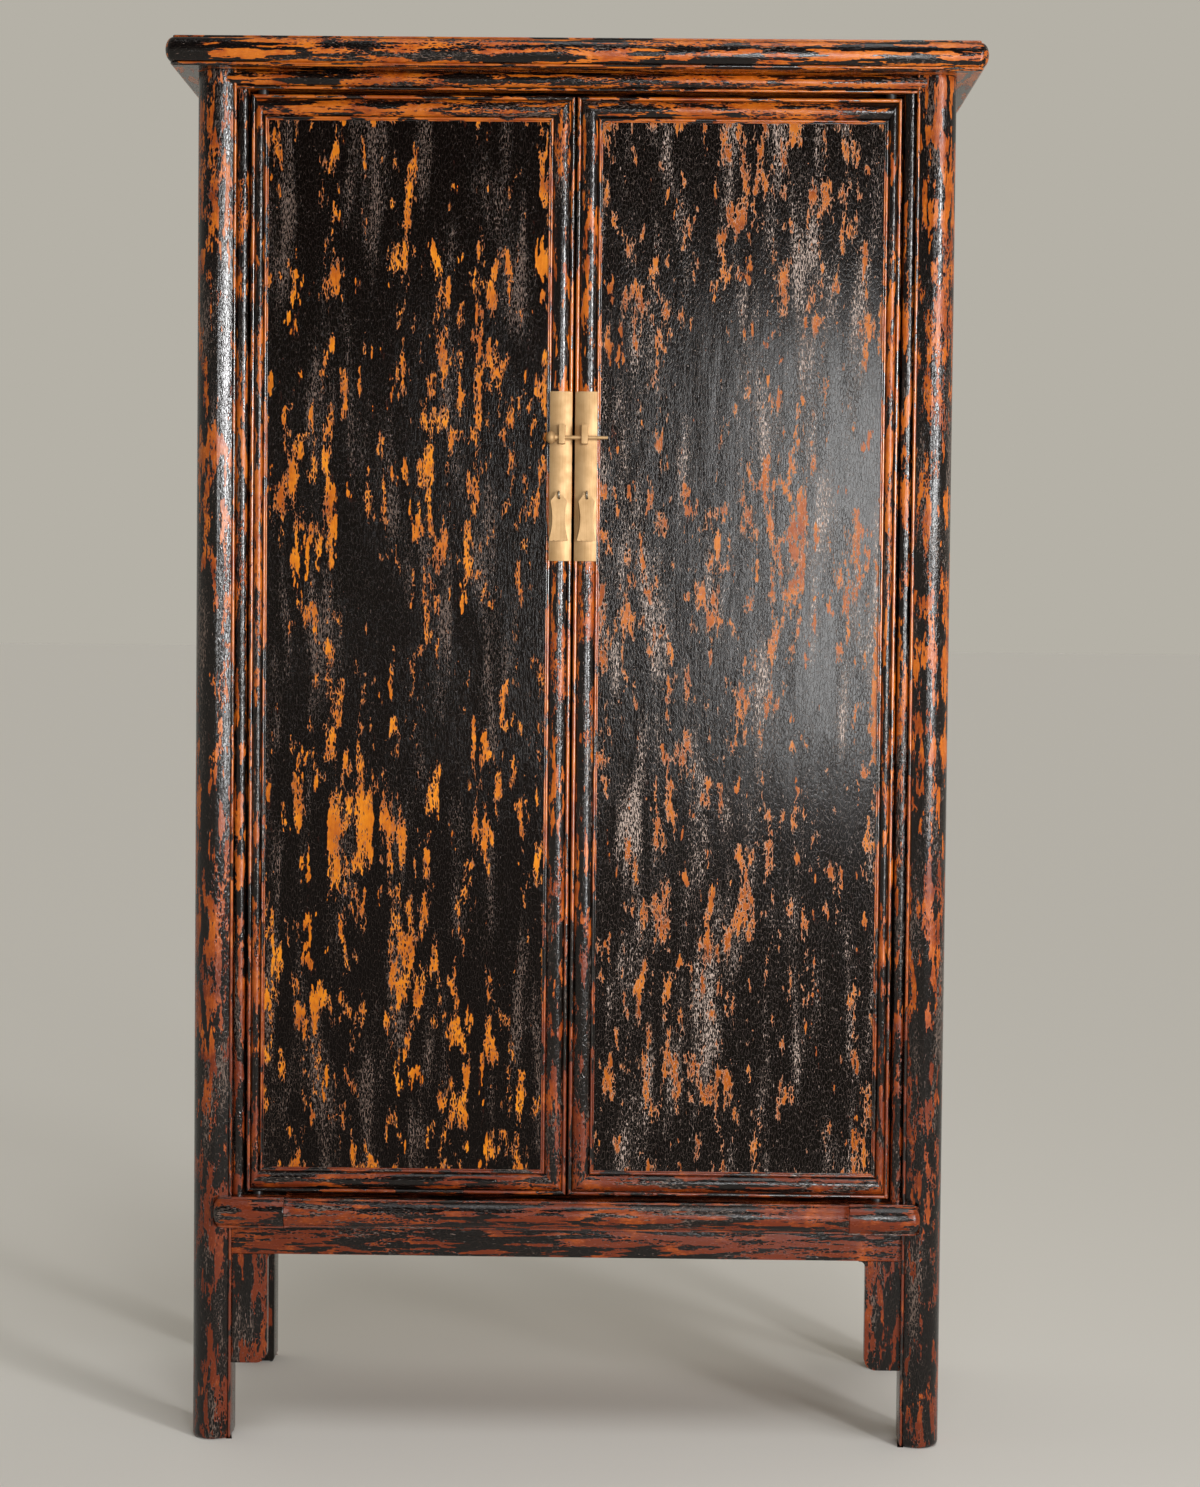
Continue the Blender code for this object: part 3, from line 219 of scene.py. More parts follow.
def worn_lacquer(name, along, worn, patch, shift, tones, crack=RED_CRACK, net=0.0, grain=0.0, pale=DIM_GRAIN_GLINT,
                 spots=(), edges=None, gloss=0.14, relief=1.0, floor_shade=0.17, index=POLISHED_IOR):
    """Lacquer that is gone where its wear passes a level, with a net of open cracks round such places.

    patch is the usual width and length of a bare place in metres, tones the ground coat from dark to light,
    and crack the colour of a thin crack. net and grain say how far the crack net and the fine crackle spread,
    spots and edges where hands and cloths wore it most, and floor_shade how much darker the ground coat is
    near the floor: painted shade for light that falls off towards the floor.
    """
    material, tree = new_material(name)
    place = add(tree, "TexCoord", out="Object")
    sockets = {"Vector": place, "Scale": per_cell(along, *CELL), "Location": [shift] * 3}
    grid = add(tree, "Mapping", sockets)
    wave = add(tree, "TexNoise", {"Vector": grid, "Scale": WANDER_SCALE, "Detail": 2.0}, out="Color")
    warped = add(tree, "VectorMath", (wave, WANDER, grid), operation="MULTIPLY_ADD")
    sockets = {"Vector": warped, "Scale": 1.0}
    split = add(tree, "TexVoronoi", sockets, out="Distance", feature="DISTANCE_TO_EDGE")
    cloud = {}
    for word, (cell, extra, detail, rough) in {"blot": (patch, 0.0, 3.0, 0.55), **CLOUDS}.items():
        sockets = {"Vector": place, "Scale": per_cell(along, *cell), "Location": [shift + extra] * 3}
        cells = add(tree, "Mapping", sockets)
        sockets = {"Vector": cells, "Scale": 1.0, "Detail": detail, "Roughness": rough}
        cloud[word] = add(tree, "TexNoise", sockets)
    fine = cloud["fine"]

    # Wear: the sum of blots, columns and slow fields, of worn spots and of the piece's edges
    field = add(tree, "TexNoise", {"Vector": place, "Scale": FIELDS_PER_METRE, "Detail": 1.0})
    terms = [(cloud["blot"], 1.0), (fine, 0.20), (cloud["column"], 0.35), (field, 0.25)]
    for centre, reach, amount in spots:
        offset = [-c / r for c, r in zip(centre, reach)]
        sockets = {"Vector": place, "Scale": [1.0 / r for r in reach], "Location": offset}
        spot = add(tree, "Mapping", sockets)
        terms.append((add(tree, "TexGradient", (spot,), out=1, gradient_type="SPHERICAL"), amount))
    if edges is not None:
        low, high, reach, amount = edges
        middle = [-(a + b) / 2 for a, b in zip(low, high)]
        centred = add(tree, "VectorMath", (place, middle))
        away = add(tree, "VectorMath", (centred,), operation="ABSOLUTE")
        parts = add(tree, "SeparateXYZ", (away,)).node.outputs
        for axis, half in zip("XYZ", (high - low) / 2):
            if half > reach:
                terms.append((add(tree, "MapRange", (parts[axis], half - reach, half), **SMOOTH), amount))
    wear = total(tree, WEAR_START, *terms)

    # Lost coat: a cell is gone where wear passes the level, and cracks open round it where the net reaches
    netted = add(tree, "MapRange", (cloud["zone"], 0.58 - net, 0.70 - net), **SMOOTH)
    short = add(tree, "Math", (worn, wear), operation="SUBTRACT")
    share = add(tree, "Math", (short, total(tree, CRACK_REACH, (netted, NET_REACH))), operation="DIVIDE")
    depth = total(tree, CRACK_HALF, (share, -CRACK_HALF), (split, -1.0))
    lost = add(tree, "MapRange", (depth, -0.04, 0.04), **SMOOTH)
    inside = add(tree, "MapRange", (depth, 0.02, 0.11), **SMOOTH)

    # Fine crackle in strips along the grain: hair cracks between cells, and specks
    strip = add(tree, "MapRange", (cloud["strip"], 0.46 - grain, 0.74 - grain), **SMOOTH)
    thread = total(tree, 0.0, (strip, 0.035), (split, -1.0))
    hair = add(tree, "MapRange", (thread, -0.02, 0.03), **SMOOTH)
    speck = add(tree, "MapRange", (total(tree, cloud["speck"], (strip, 0.20)), 0.71, 0.77), **SMOOTH)
    crackle = add(tree, "Math", (hair, speck), operation="MAXIMUM")

    # Colour: black that thins to brown before it goes, and a ground coat with painted shade that darkens it
    # near the floor
    stops = [(0.0, LACQUER_BLACK), (worn - 0.05, LACQUER_BLACK), (worn, LACQUER_THIN)]
    skin = add(tree, "ValToRGB", (wear,), stops=stops)
    rise = add(tree, "MapRange", (add(tree, "SeparateXYZ", (place,), out="Z"), 0.1, 1.1), **SMOOTH)
    sockets = {"Vector": place, "Scale": TINTS_PER_METRE, "Detail": 3.0, "Roughness": 0.6}
    tint = add(tree, "TexNoise", sockets)
    # the rise term darkens the ground coat towards the floor: painted shade
    tone = total(tree, -floor_shade, (tint, 0.75), (fine, 0.25), (rise, 1.4 * floor_shade))
    ground = add(tree, "ValToRGB", (tone,), stops=list(zip((0.36, 0.49, 0.63), tones)))
    # Crackle, and the cracks round bare places, take their own colours; the paler ones are partly painted
    # glint on crack edges
    whole = add(tree, "Mix", {0: crackle, 6: skin, 7: linear(pale)}, **COLOURS)
    opened = add(tree, "Mix", {0: inside, 6: linear(crack), 7: ground}, **COLOURS)
    colour = add(tree, "Mix", {0: lost, 6: whole, 7: opened}, **COLOURS)

    # Relief: flaked places lie lower, cells are cupped, and brush strokes and slow waves show in the gloss
    domed = add(tree, "MapRange", (split, 0.0, 0.16), **SMOOTH)
    cup = add(tree, "Math", (domed, total(tree, 0.4, (netted, 0.6))), operation="MULTIPLY")
    height = total(tree, 0.0, (lost, -0.22), (cup, 0.10 * relief), (fine, 0.20 * relief), (crackle, 0.08),
                   (cloud["stroke"], 0.05), (cloud["slow"], 0.5))
    bump = add(tree, "Bump", {"Strength": 1.0, "Distance": RELIEF_DEPTH, "Height": height})
    rough = total(tree, gloss - 0.05, (lost, 0.12), (fine, 0.10))
    sockets = {"Base Color": colour, "Roughness": rough, "Normal": bump, "IOR": index}
    add(tree, "OutputMaterial", {"Surface": add(tree, "BsdfPrincipled", sockets)})
    return material


def shadowed_lacquer():
    """Painted shade for quirks beside beads and for dowels in the door gaps: near-black, dull, faintly
    mottled.
    """
    material, tree = new_material("painted_shade_in_quirks")
    place = add(tree, "TexCoord", out="Object")
    mottle = add(tree, "TexNoise", {"Vector": place, "Scale": 90.0, "Detail": 3.0})
    colour = add(tree, "ValToRGB", (mottle,), stops=[(0.3, "#080504"), (0.6, "#120A07"), (0.8, "#3A180C")])
    rough = add(tree, "MapRange", (mottle, 0.3, 0.7, 0.4, 0.6), **SMOOTH)
    sockets = {"Base Color": colour, "Roughness": rough}
    add(tree, "OutputMaterial", {"Surface": add(tree, "BsdfPrincipled", sockets)})
    return material


ELM_BAND = (0.009, 0.30)
ELM_PORE = (0.009 / 7, 0.05)


def bare_elm(name, along, dark, light):
    """Old elm planed and left bare: open grain in long streaks, fine pores, dry and matt.

    The pores are drawn wider than real ones, so that they show.
    """
    material, tree = new_material(name)
    place = add(tree, "TexCoord", out="Object")
    streak = add(tree, "Mapping", {"Vector": place, "Scale": per_cell(along, *ELM_BAND)})
    sockets = {"Vector": streak, "Scale": 1.0, "Detail": 5.0, "Roughness": 0.6, "Distortion": 0.6}
    bands = add(tree, "TexNoise", sockets)
    thread = add(tree, "Mapping", {"Vector": place, "Scale": per_cell(along, *ELM_PORE)})
    pores = add(tree, "TexNoise", {"Vector": thread, "Scale": 1.0, "Detail": 2.0})
    tone = total(tree, -0.12, (bands, 0.95), (pores, 0.3))
    colour = add(tree, "ValToRGB", (tone,), stops=[(0.32, dark), (0.68, light)])
    rough = add(tree, "MapRange", (pores, 0.35, 0.65, 0.72, 0.55), **SMOOTH)
    height = total(tree, 0.0, (bands, 0.25), (pores, 0.2))
    bump = add(tree, "Bump", {"Strength": 1.0, "Distance": RELIEF_DEPTH, "Height": height})
    sockets = {"Base Color": colour, "Roughness": rough, "Normal": bump}
    add(tree, "OutputMaterial", {"Surface": add(tree, "BsdfPrincipled", sockets)})
    return material


RUB_LENGTH = 0.04


def satin_metal(name, dark, light, rough, brushed, bright):
    """Sheet or turned metal rubbed along Z: a soft sheen with faint marks and stains.

    The marks are brushed wide, coarser than real ones, so that they show. bright is how little tarnish dulls
    the metal.
    """
    material, tree = new_material(name)
    place = add(tree, "TexCoord", out="Object")
    rubbed = add(tree, "Mapping", {"Vector": place, "Scale": per_cell("Z", brushed, RUB_LENGTH)})
    marks = add(tree, "TexNoise", {"Vector": rubbed, "Scale": 1.0, "Detail": 2.0})
    stain = add(tree, "TexNoise", {"Vector": place, "Scale": 55.0, "Detail": 3.0})
    tone = total(tree, 0.0, (marks, 0.35), (stain, 0.65))
    colour = add(tree, "ValToRGB", (tone,), stops=[(0.3, dark), (0.62, light)])
    dulled = add(tree, "MapRange", (tone, 0.3, 0.7, rough + 0.08, rough - 0.06), **SMOOTH)
    bump = add(tree, "Bump", {"Strength": 0.35, "Distance": 0.0002, "Height": marks})
    sockets = {"Base Color": colour, "Metallic": bright, "Roughness": dulled, "Normal": bump}
    add(tree, "OutputMaterial", {"Surface": add(tree, "BsdfPrincipled", sockets)})
    return material


def turn_out(section):
    """Outward unit normals of a closed section, from the chord between each point's neighbours."""
    chord = np.roll(section, -1, axis=0) - np.roll(section, 1, axis=0)
    normal = np.stack([chord[:, 1], -chord[:, 0]], axis=1)
    normal /= np.maximum(np.linalg.norm(normal, axis=1, keepdims=True), 1e-12)
    u, v = section.T
    area = np.sum(u * np.roll(v, -1) - v * np.roll(u, -1))
    return normal * np.sign(area)


def arc(u, v, ru, rv, start, stop, count):
    """Points of an ellipse about (u, v) from one angle in degrees to another."""
    angle = np.radians(np.linspace(start, stop, count))
    return np.stack([u + ru * np.cos(angle), v + rv * np.sin(angle)], axis=1)


def crown(start, stop, height, count):
    """Arc from start to stop as (across, depth below its top): the circle through both ends and the top."""
    half = (stop - start) / 2
    radius = (half * half + height * height) / (2 * height)
    offset = np.linspace(-half, half, count)
    return np.stack([start + half + offset, radius - np.sqrt(radius * radius - offset * offset)], axis=1)


def tagged(*runs):
    """Join (points, tag) runs into one closed section and the finish of the strip that each point starts."""
    section = np.concatenate([np.atleast_2d(points) for points, _ in runs])
    tags = np.concatenate([np.full(len(np.atleast_2d(points)), tag) for points, tag in runs])
    return section, tags


def rounded(low, high, ease):
    """Rectangle between two corners, each turned by a quarter circle of radius ease."""
    (u0, v0), (u1, v1) = np.add(low, ease), np.subtract(high, ease)
    centres = [(u1, v1), (u0, v1), (u0, v0), (u1, v0)]
    return np.concatenate([arc(u, v, ease, ease, 90 * i, 90 * i + 90, 5) for i, (u, v) in enumerate(centres)])


def carry(section, origin, across, back, along, length, cut=(0.0, 0.0), ease=(0.0, 0.0),
          shares=(0.0, 1.0), swell=None):
    """Carry a section (u, v) along a straight line: a point is origin + u across + v back + t along.

    An end is mitred by moving each point of the section in by its cut, and eased by drawing the section in
    along a quarter circle. shares are the places between the ends, and swell(t) moves the section out along
    its own normals by that much.
    """
    u, v = section.T
    normal = turn_out(section)
    turn = np.radians(np.linspace(0.0, 90.0, 7))
    in_by, drawn_by = 1 - np.cos(turn), 1 - np.sin(turn)
    first = np.broadcast_to(cut[0], u.shape) + ease[0] * in_by[:, None]
    last = length - np.broadcast_to(cut[1], u.shape) - ease[1] * in_by[::-1, None]
    middle = first[-1] + np.asarray(shares)[1:-1, None] * (last[0] - first[-1])
    t = np.concatenate([first, middle, last])
    drawn = np.concatenate([ease[0] * drawn_by, np.zeros(len(middle)), ease[1] * drawn_by[::-1]])
    out = -np.broadcast_to(drawn[:, None], t.shape)
    if swell is not None:
        out = out + swell(t)
    u = u + out * normal[:, 0]
    v = v + out * normal[:, 1]
    return np.asarray(origin) + u[..., None] * across + v[..., None] * back + t[..., None] * along


def piece(name, grid, body, nodes, finishes, tags=None):
    """Closed mesh on a body in place of CAD nodes: a grid whose rows run along it and whose columns close
    round its section. It is welded, turned out, and smooth between sharp edges."""
    rows, columns = grid.shape[:2]
    index = np.arange(rows * columns).reshape(rows, columns)
    beside = np.roll(index, -1, axis=1)
    quads = np.stack([index[:-1], beside[:-1], beside[1:], index[1:]], axis=-1).reshape(-1, 4)
    faces = [*quads.tolist(), index[0].tolist(), index[-1].tolist()]
    strips = np.full(columns, BODY) if tags is None else tags
    finish = np.append(np.tile(strips, rows - 1), [BODY, BODY])
    mesh = bpy.data.meshes.new(name)
    mesh.from_pydata(grid.reshape(-1, 3).tolist(), [], faces)
    mesh.polygons.foreach_set("material_index", finish.astype(np.int32))
    bm = bmesh.new()
    bm.from_mesh(mesh)
    bmesh.ops.remove_doubles(bm, verts=bm.verts, dist=WELD)
    bmesh.ops.recalc_face_normals(bm, faces=bm.faces)
    bm.to_mesh(mesh)
    bm.free()
    mesh.shade_smooth()
    mesh.set_sharp_from_angle(angle=SHARP)
    for material in finishes:
        mesh.materials.append(material)
    made = bpy.data.objects.new(name, mesh)
    bpy.context.scene.collection.objects.link(made)
    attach(made, body)
    if nodes:
        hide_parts(*nodes)


def corners(node):
    """Lowest and highest corner of a CAD node as arrays."""
    low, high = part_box(node)
    return np.array(low), np.array(high)


def board(node, along, finish, ease=BOARD_ARRIS, body="carcass"):
    """Planed board in place of a CAD box: a rectangle with eased corners carried along its grain."""
    low, high = corners(node)
    run = "XYZ".index(along)
    p, q = [i for i in range(3) if i != run]
    section = rounded((low[p], low[q]), (high[p], high[q]), ease)
    grid = carry(section, AXES[run] * low[run], AXES[p], AXES[q], AXES[run], high[run] - low[run],
                 ease=(ease, ease))
    piece(f"{node}_board", grid, body, [node], (finish,))


# Finishes. A higher wear level leaves less ground coat bare.
EDGE_REACH = 0.020
EDGE_WEAR = 0.07
PANEL_FACE = -0.21
SPOT_DEEP = 0.3


def panel_finish(word, worn, patch, shift, tones, crack, net, grain, pale, spots):
    """Lacquer of a door panel, with more wear towards its edges and at spots (x, z, half width, half height,
    amount)."""
    edges = (*corners(f"{word}_door_panel"), EDGE_REACH, EDGE_WEAR)
    spots = [((x, PANEL_FACE, z), (wide, SPOT_DEEP, tall), amount) for x, z, wide, tall, amount in spots]
    return worn_lacquer(f"black_lacquer_{word}_door", "Z", worn, patch, shift, tones, crack, net, grain, pale,
                        spots, edges, gloss=0.13, relief=0.35, floor_shade=0.0, index=LACQUER_IOR)


FLAKE = (0.011, 0.042)
LONG = (0.009, 0.044)
STREAK = (0.0062, 0.062)
LEFT_SPOTS = [(-0.300, 0.80, 0.10, 0.26, 0.08), (-0.190, 0.62, 0.10, 0.28, 0.08),
              (-0.10, 1.47, 0.12, 0.22, 0.03), (-0.22, 1.33, 0.09, 0.15, 0.04)]
RIGHT_SPOTS = [(0.31, 0.85, 0.10, 0.22, 0.06), (0.14, 0.64, 0.09, 0.16, 0.05),
               (0.21, 1.13, 0.12, 0.12, 0.06), (0.27, 1.6, 0.12, 0.18, 0.04)]
CAP_SPOTS = [((-0.535, -0.26, 1.825), (0.07, 0.10, 0.08), -0.40)]
RAIL_SPOTS = [((0.0, -0.22, 0.27), (0.7, 0.2, 0.07), 0.06)]
LEFT_PANEL = panel_finish("left", 0.690, (0.0105, 0.040), 3.0, ORANGE_TONES, ORANGE_CRACK, 0.17, -0.02,
                          DIM_GRAIN_GLINT, LEFT_SPOTS)
RIGHT_PANEL = panel_finish("right", 0.682, (0.0100, 0.036), 11.0, AMBER_TONES, PALE_CRACK_GLINT, 0.19, -0.01,
                           PALE_GRAIN_GLINT, RIGHT_SPOTS)
SIDE_PANEL = worn_lacquer("black_lacquer_side", "Z", 0.64, FLAKE, 23.0, RED_TONES, net=0.04, gloss=0.2,
                          index=LACQUER_IOR)
CAP_PANEL = worn_lacquer("black_lacquer_cap_panel", "X", 0.65, FLAKE, 31.0, RED_TONES, gloss=0.2,
                         index=LACQUER_IOR)
POST = worn_lacquer("worn_lacquer_posts", "Z", 0.580, LONG, 41.0, RED_TONES, net=0.14)
# Rear posts: the same lacquer, less worn through and so darker, as painted shade for posts that stand in
# shade.
REAR_POST_SHADE = worn_lacquer("shaded_black_lacquer_rear_posts", "Z", 0.640, LONG, 47.0, RED_TONES, net=0.06)
UPRIGHT = worn_lacquer("worn_lacquer_uprights", "Z", 0.586, LONG, 53.0, RED_TONES, net=0.12)
LEVEL = worn_lacquer("worn_lacquer_rails", "X", 0.550, STREAK, 61.0, RED_TONES, net=0.14, spots=RAIL_SPOTS)
BLOCK = worn_lacquer("worn_lacquer_blocks", "X", 0.560, LONG, 67.0, RED_TONES, net=0.10)
CAP_EDGE = worn_lacquer("worn_lacquer_cap", "X", 0.540, STREAK, 71.0, CAP_TONES, net=0.12, spots=CAP_SPOTS)
CAP_SIDE = worn_lacquer("worn_lacquer_cap_side", "Y", 0.53, LONG, 73.0, RED_TONES)
SIDE_RAIL = worn_lacquer("worn_lacquer_side_rails", "Y", 0.55, LONG, 83.0, RED_TONES, net=0.06)
RUBBED = {"gloss": 0.10, "relief": 0.4, "index": RUBBED_IOR}
UPRIGHT_BEAD = worn_lacquer("rubbed_bead_upright", "Z", 0.48, LONG, 91.0, RED_TONES, **RUBBED)
LEVEL_BEAD = worn_lacquer("rubbed_bead_level", "X", 0.48, LONG, 97.0, RED_TONES, **RUBBED)
QUIRK_SHADE = shadowed_lacquer()
ELM_X = bare_elm("bare_elm_shelf", "X", "#5E3A20", "#9A6D42")
ELM_Y = bare_elm("bare_elm_bearer", "Y", "#5A371F", "#8E623B")
ELM_Z = bare_elm("bare_elm_back", "Z", "#4A2D1A", "#84592F")
BRASS = satin_metal("satin_brass", "#A88558", "#BF9C70", 0.55, 0.0006, 0.55)
STEEL = satin_metal("dull_steel", "#6E675A", "#B9B2A4", 0.40, 0.0005, 1.0)
# The third finish of each moulding, on its quirks, is painted shade.
UPRIGHTS = (UPRIGHT, UPRIGHT_BEAD, QUIRK_SHADE)
LEVELS = (LEVEL, LEVEL_BEAD, QUIRK_SHADE)
BLOCKS = (BLOCK, LEVEL_BEAD, QUIRK_SHADE)


def post_section():
    """Post about its centre, outwards and backwards: bead, shallow round, crown, quarter round, flat back."""
    h = POST_HALF
    bead = arc(POST_BEAD - h, POST_BEAD_LEVEL - h, POST_BEAD, POST_BEAD, 180, 360, 11)
    quirk = [[2 * POST_BEAD - h + QUIRK / 2, POST_BEAD_LEVEL - h + QUIRK_DEEP]]
    share = np.linspace(0.0, 1.0, 9)[:, None]
    start = np.array([2 * POST_BEAD - h + QUIRK, POST_BEAD_LEVEL - h])
    stop = np.array([POST_CROWN, -h])
    shallow = start + share * (stop - start) - 4 * POST_BULGE * share * (1 - share) * [[0.3, 0.95]]
    outer = arc(POST_CROWN, POST_ROUND - h, h - POST_CROWN, POST_ROUND, -90, 0, 25)[1:]
    at = h - POST_BACK_ARRIS
    back = arc(at, at, POST_BACK_ARRIS, POST_BACK_ARRIS, 0, 90, 6)
    at = h - POST_INNER_ARRIS
    inner = arc(-at, at, POST_INNER_ARRIS, POST_INNER_ARRIS, 90, 180, 4)
    return tagged((back, BODY), (inner, BODY), (bead[:-1], BEAD), (bead[-1:], GROOVE), (quirk, GROOVE),
                  (shallow, BODY), (outer, BODY))


def build_posts():
    """Posts: one section carried from the floor to the cap, turned for each corner, with an eased foot. The
    rear posts are wider inwards by a constant share."""
    section, tags = post_section()
    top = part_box("top_rail_front")[1][2]
    for row, depth, wider, finish in (("front", 1.0, 0.0, POST), ("rear", -1.0, REAR_POST_EXTRA, REAR_POST_SHADE)):
        stretch = np.where(section[:, :1] < 0.0, [[1.0 + wider / POST_HALF, 1.0]], 1.0)
        for word, side in SIDES.items():
            node = f"post_{row}_{word}"
            low, high = corners(node)
            middle = (low + high) / 2
            grid = carry(section * stretch, (middle[0], middle[1], 0.0), side * X, depth * Y, Z, top,
                         ease=(POST_FOOT_EASE, 0.0))
            piece(f"{node}_wood", grid, "carcass", [node], (finish, UPRIGHT_BEAD, QUIRK_SHADE), tags)


def cap_section(thick):
    """Cap rail as (in from its edge, up from its soffit): bead, bull nose, bead, flat top."""
    nose_low = 3 * CAP_BEAD
    nose_half = (thick - 2 * CAP_BEAD - nose_low) / 2
    low_bead = arc(CAP_NOSE - CAP_BEAD, 2 * CAP_BEAD, CAP_BEAD, CAP_BEAD, 270, 90, 9)
    nose = arc(CAP_NOSE, nose_low + nose_half, CAP_NOSE, nose_half, 262, 98, 25)
    top_bead = arc(CAP_NOSE + CAP_BEAD, thick - CAP_BEAD, CAP_BEAD, CAP_BEAD, 270, 90, 9)
    return tagged(([[CAP_RAIL, 0.0], [CAP_NOSE, 0.0]], BODY), (low_bead[:-1], BEAD), (low_bead[-1:], GROOVE),
                  (nose[:-1], BODY), (nose[-1:], GROOVE), (top_bead, BEAD), ([[CAP_RAIL, thick]], BODY))


def build_cap():
    """Cap rails: at each distance in from the edge the path is a rectangle with a corner arc that shrinks to
    the mitre, and a rail takes the path from one mitre to the next."""
    low, high = corners("cap_rail_front")
    half_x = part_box("cap_rail_right")[1][0]
    half_y = -low[1]
    section, tags = cap_section(high[2] - low[2])
    inset, rise = section.T
    centre_in = np.maximum(CAP_CORNER, inset)
    radius = np.maximum(CAP_CORNER - inset, 0.0)
    turn = np.radians(np.linspace(45, 90, 7))[:, None]
    for word, run, reach, half_run, half_reach, finish in (("front", X, -Y, half_x, half_y, CAP_EDGE),
                                                           ("rear", X, Y, half_x, half_y, CAP_EDGE),
                                                           ("left", Y, -X, half_y, half_x, CAP_SIDE),
                                                           ("right", Y, X, half_y, half_x, CAP_SIDE)):
        near = half_run - centre_in + radius * np.cos(turn)
        outer = half_reach - centre_in + radius * np.sin(turn)
        along = np.concatenate([-near, near[::-1]])
        out = np.concatenate([outer, outer[::-1]])
        level = np.broadcast_to(low[2] + rise, along.shape)
        grid = along[..., None] * run + out[..., None] * reach + level[..., None] * Z
        node = f"cap_rail_{word}"
        piece(f"{node}_wood", grid, "carcass", [node], (finish, LEVEL_BEAD, QUIRK_SHADE), tags)


def build_top_rail():
    """Front rail under the cap: a bead below a shallow round."""
    low, high = corners("top_rail_front")
    length, back, thick = high - low
    bead = arc(RAIL_BEAD, RAIL_ROUND, RAIL_BEAD, RAIL_BEAD, 180, 360, 11)
    face = crown(2 * RAIL_BEAD + QUIRK, thick, RAIL_ROUND, 21)
    quirk = [[2 * RAIL_BEAD + QUIRK / 2, RAIL_ROUND + QUIRK_DEEP]]
    section, tags = tagged(([[0.0, back]], BODY), (bead[:-1], BEAD), (bead[-1:], GROOVE), (quirk, GROOVE),
                           (face, BODY), ([[thick, back]], BODY))
    grid = carry(section, low, Z, Y, X, length)
    piece("top_rail_front_wood", grid, "carcass", ["top_rail_front"], LEVELS, tags)


def half_round(half, depth):
    """Stretcher as (up from its middle, back from its crown): a half ellipse that stops at two fillets."""
    turn = math.degrees(math.acos(1.0 - RAIL_FILLET / half))
    front = arc(0.0, STRETCHER_DEPTH, half, STRETCHER_DEPTH, 180 + turn, 360 - turn, 29)
    set_back = front[0, 1]
    low_edge = [[-half, depth], [-half, set_back + RAIL_ARRIS]]
    high_edge = [[half - RAIL_ARRIS, set_back], [half, set_back + RAIL_ARRIS], [half, depth]]
    return tagged((low_edge, BODY), ([[RAIL_ARRIS - half, set_back]], BEAD), (front[:-1], BODY),
                  (front[-1:], BEAD), (high_edge, BODY))


def build_stretcher():
    """Stretcher: a half ellipse whose ends flare to a small lip. Pivot blocks: the same half ellipse, a
    little larger, with an eased outer end."""
    low, high = corners("stretcher_front")
    depth = high[1] - low[1]
    section, tags = half_round((high[2] - low[2]) / 2, depth)
    length = 2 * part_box("pivot_block_right")[0][0] - SEAM
    shares = np.concatenate([np.linspace(0, LIP_SHARE, 9), np.linspace(1 - LIP_SHARE, 1, 9)])

    def lip(t):
        """Rise that falls off with the square of the distance from the nearer end."""
        end = np.minimum(t, length - t)
        return LIP_HEIGHT * np.clip(1 - end / LIP_LENGTH, 0.0, 1.0) ** 2

    grid = carry(section, (-length / 2, low[1], (low[2] + high[2]) / 2), Z, Y, X, length,
                 ease=(RAIL_ARRIS, RAIL_ARRIS), shares=shares, swell=lip)
    piece("stretcher_front_wood", grid, "carcass", ["stretcher_front"], LEVELS, tags)
    for word, side in SIDES.items():
        node = f"pivot_block_{word}"
        low, high = corners(node)
        section, tags = half_round((high[2] - low[2]) / 2, depth)
        start = low[0] if side > 0 else high[0]
        grid = carry(section, (start, low[1], (low[2] + high[2]) / 2), Z, Y, side * X, BLOCK_LENGTH,
                     ease=BLOCK_EASE)
        piece(f"{node}_wood", grid, "carcass", [node], BLOCKS, tags)


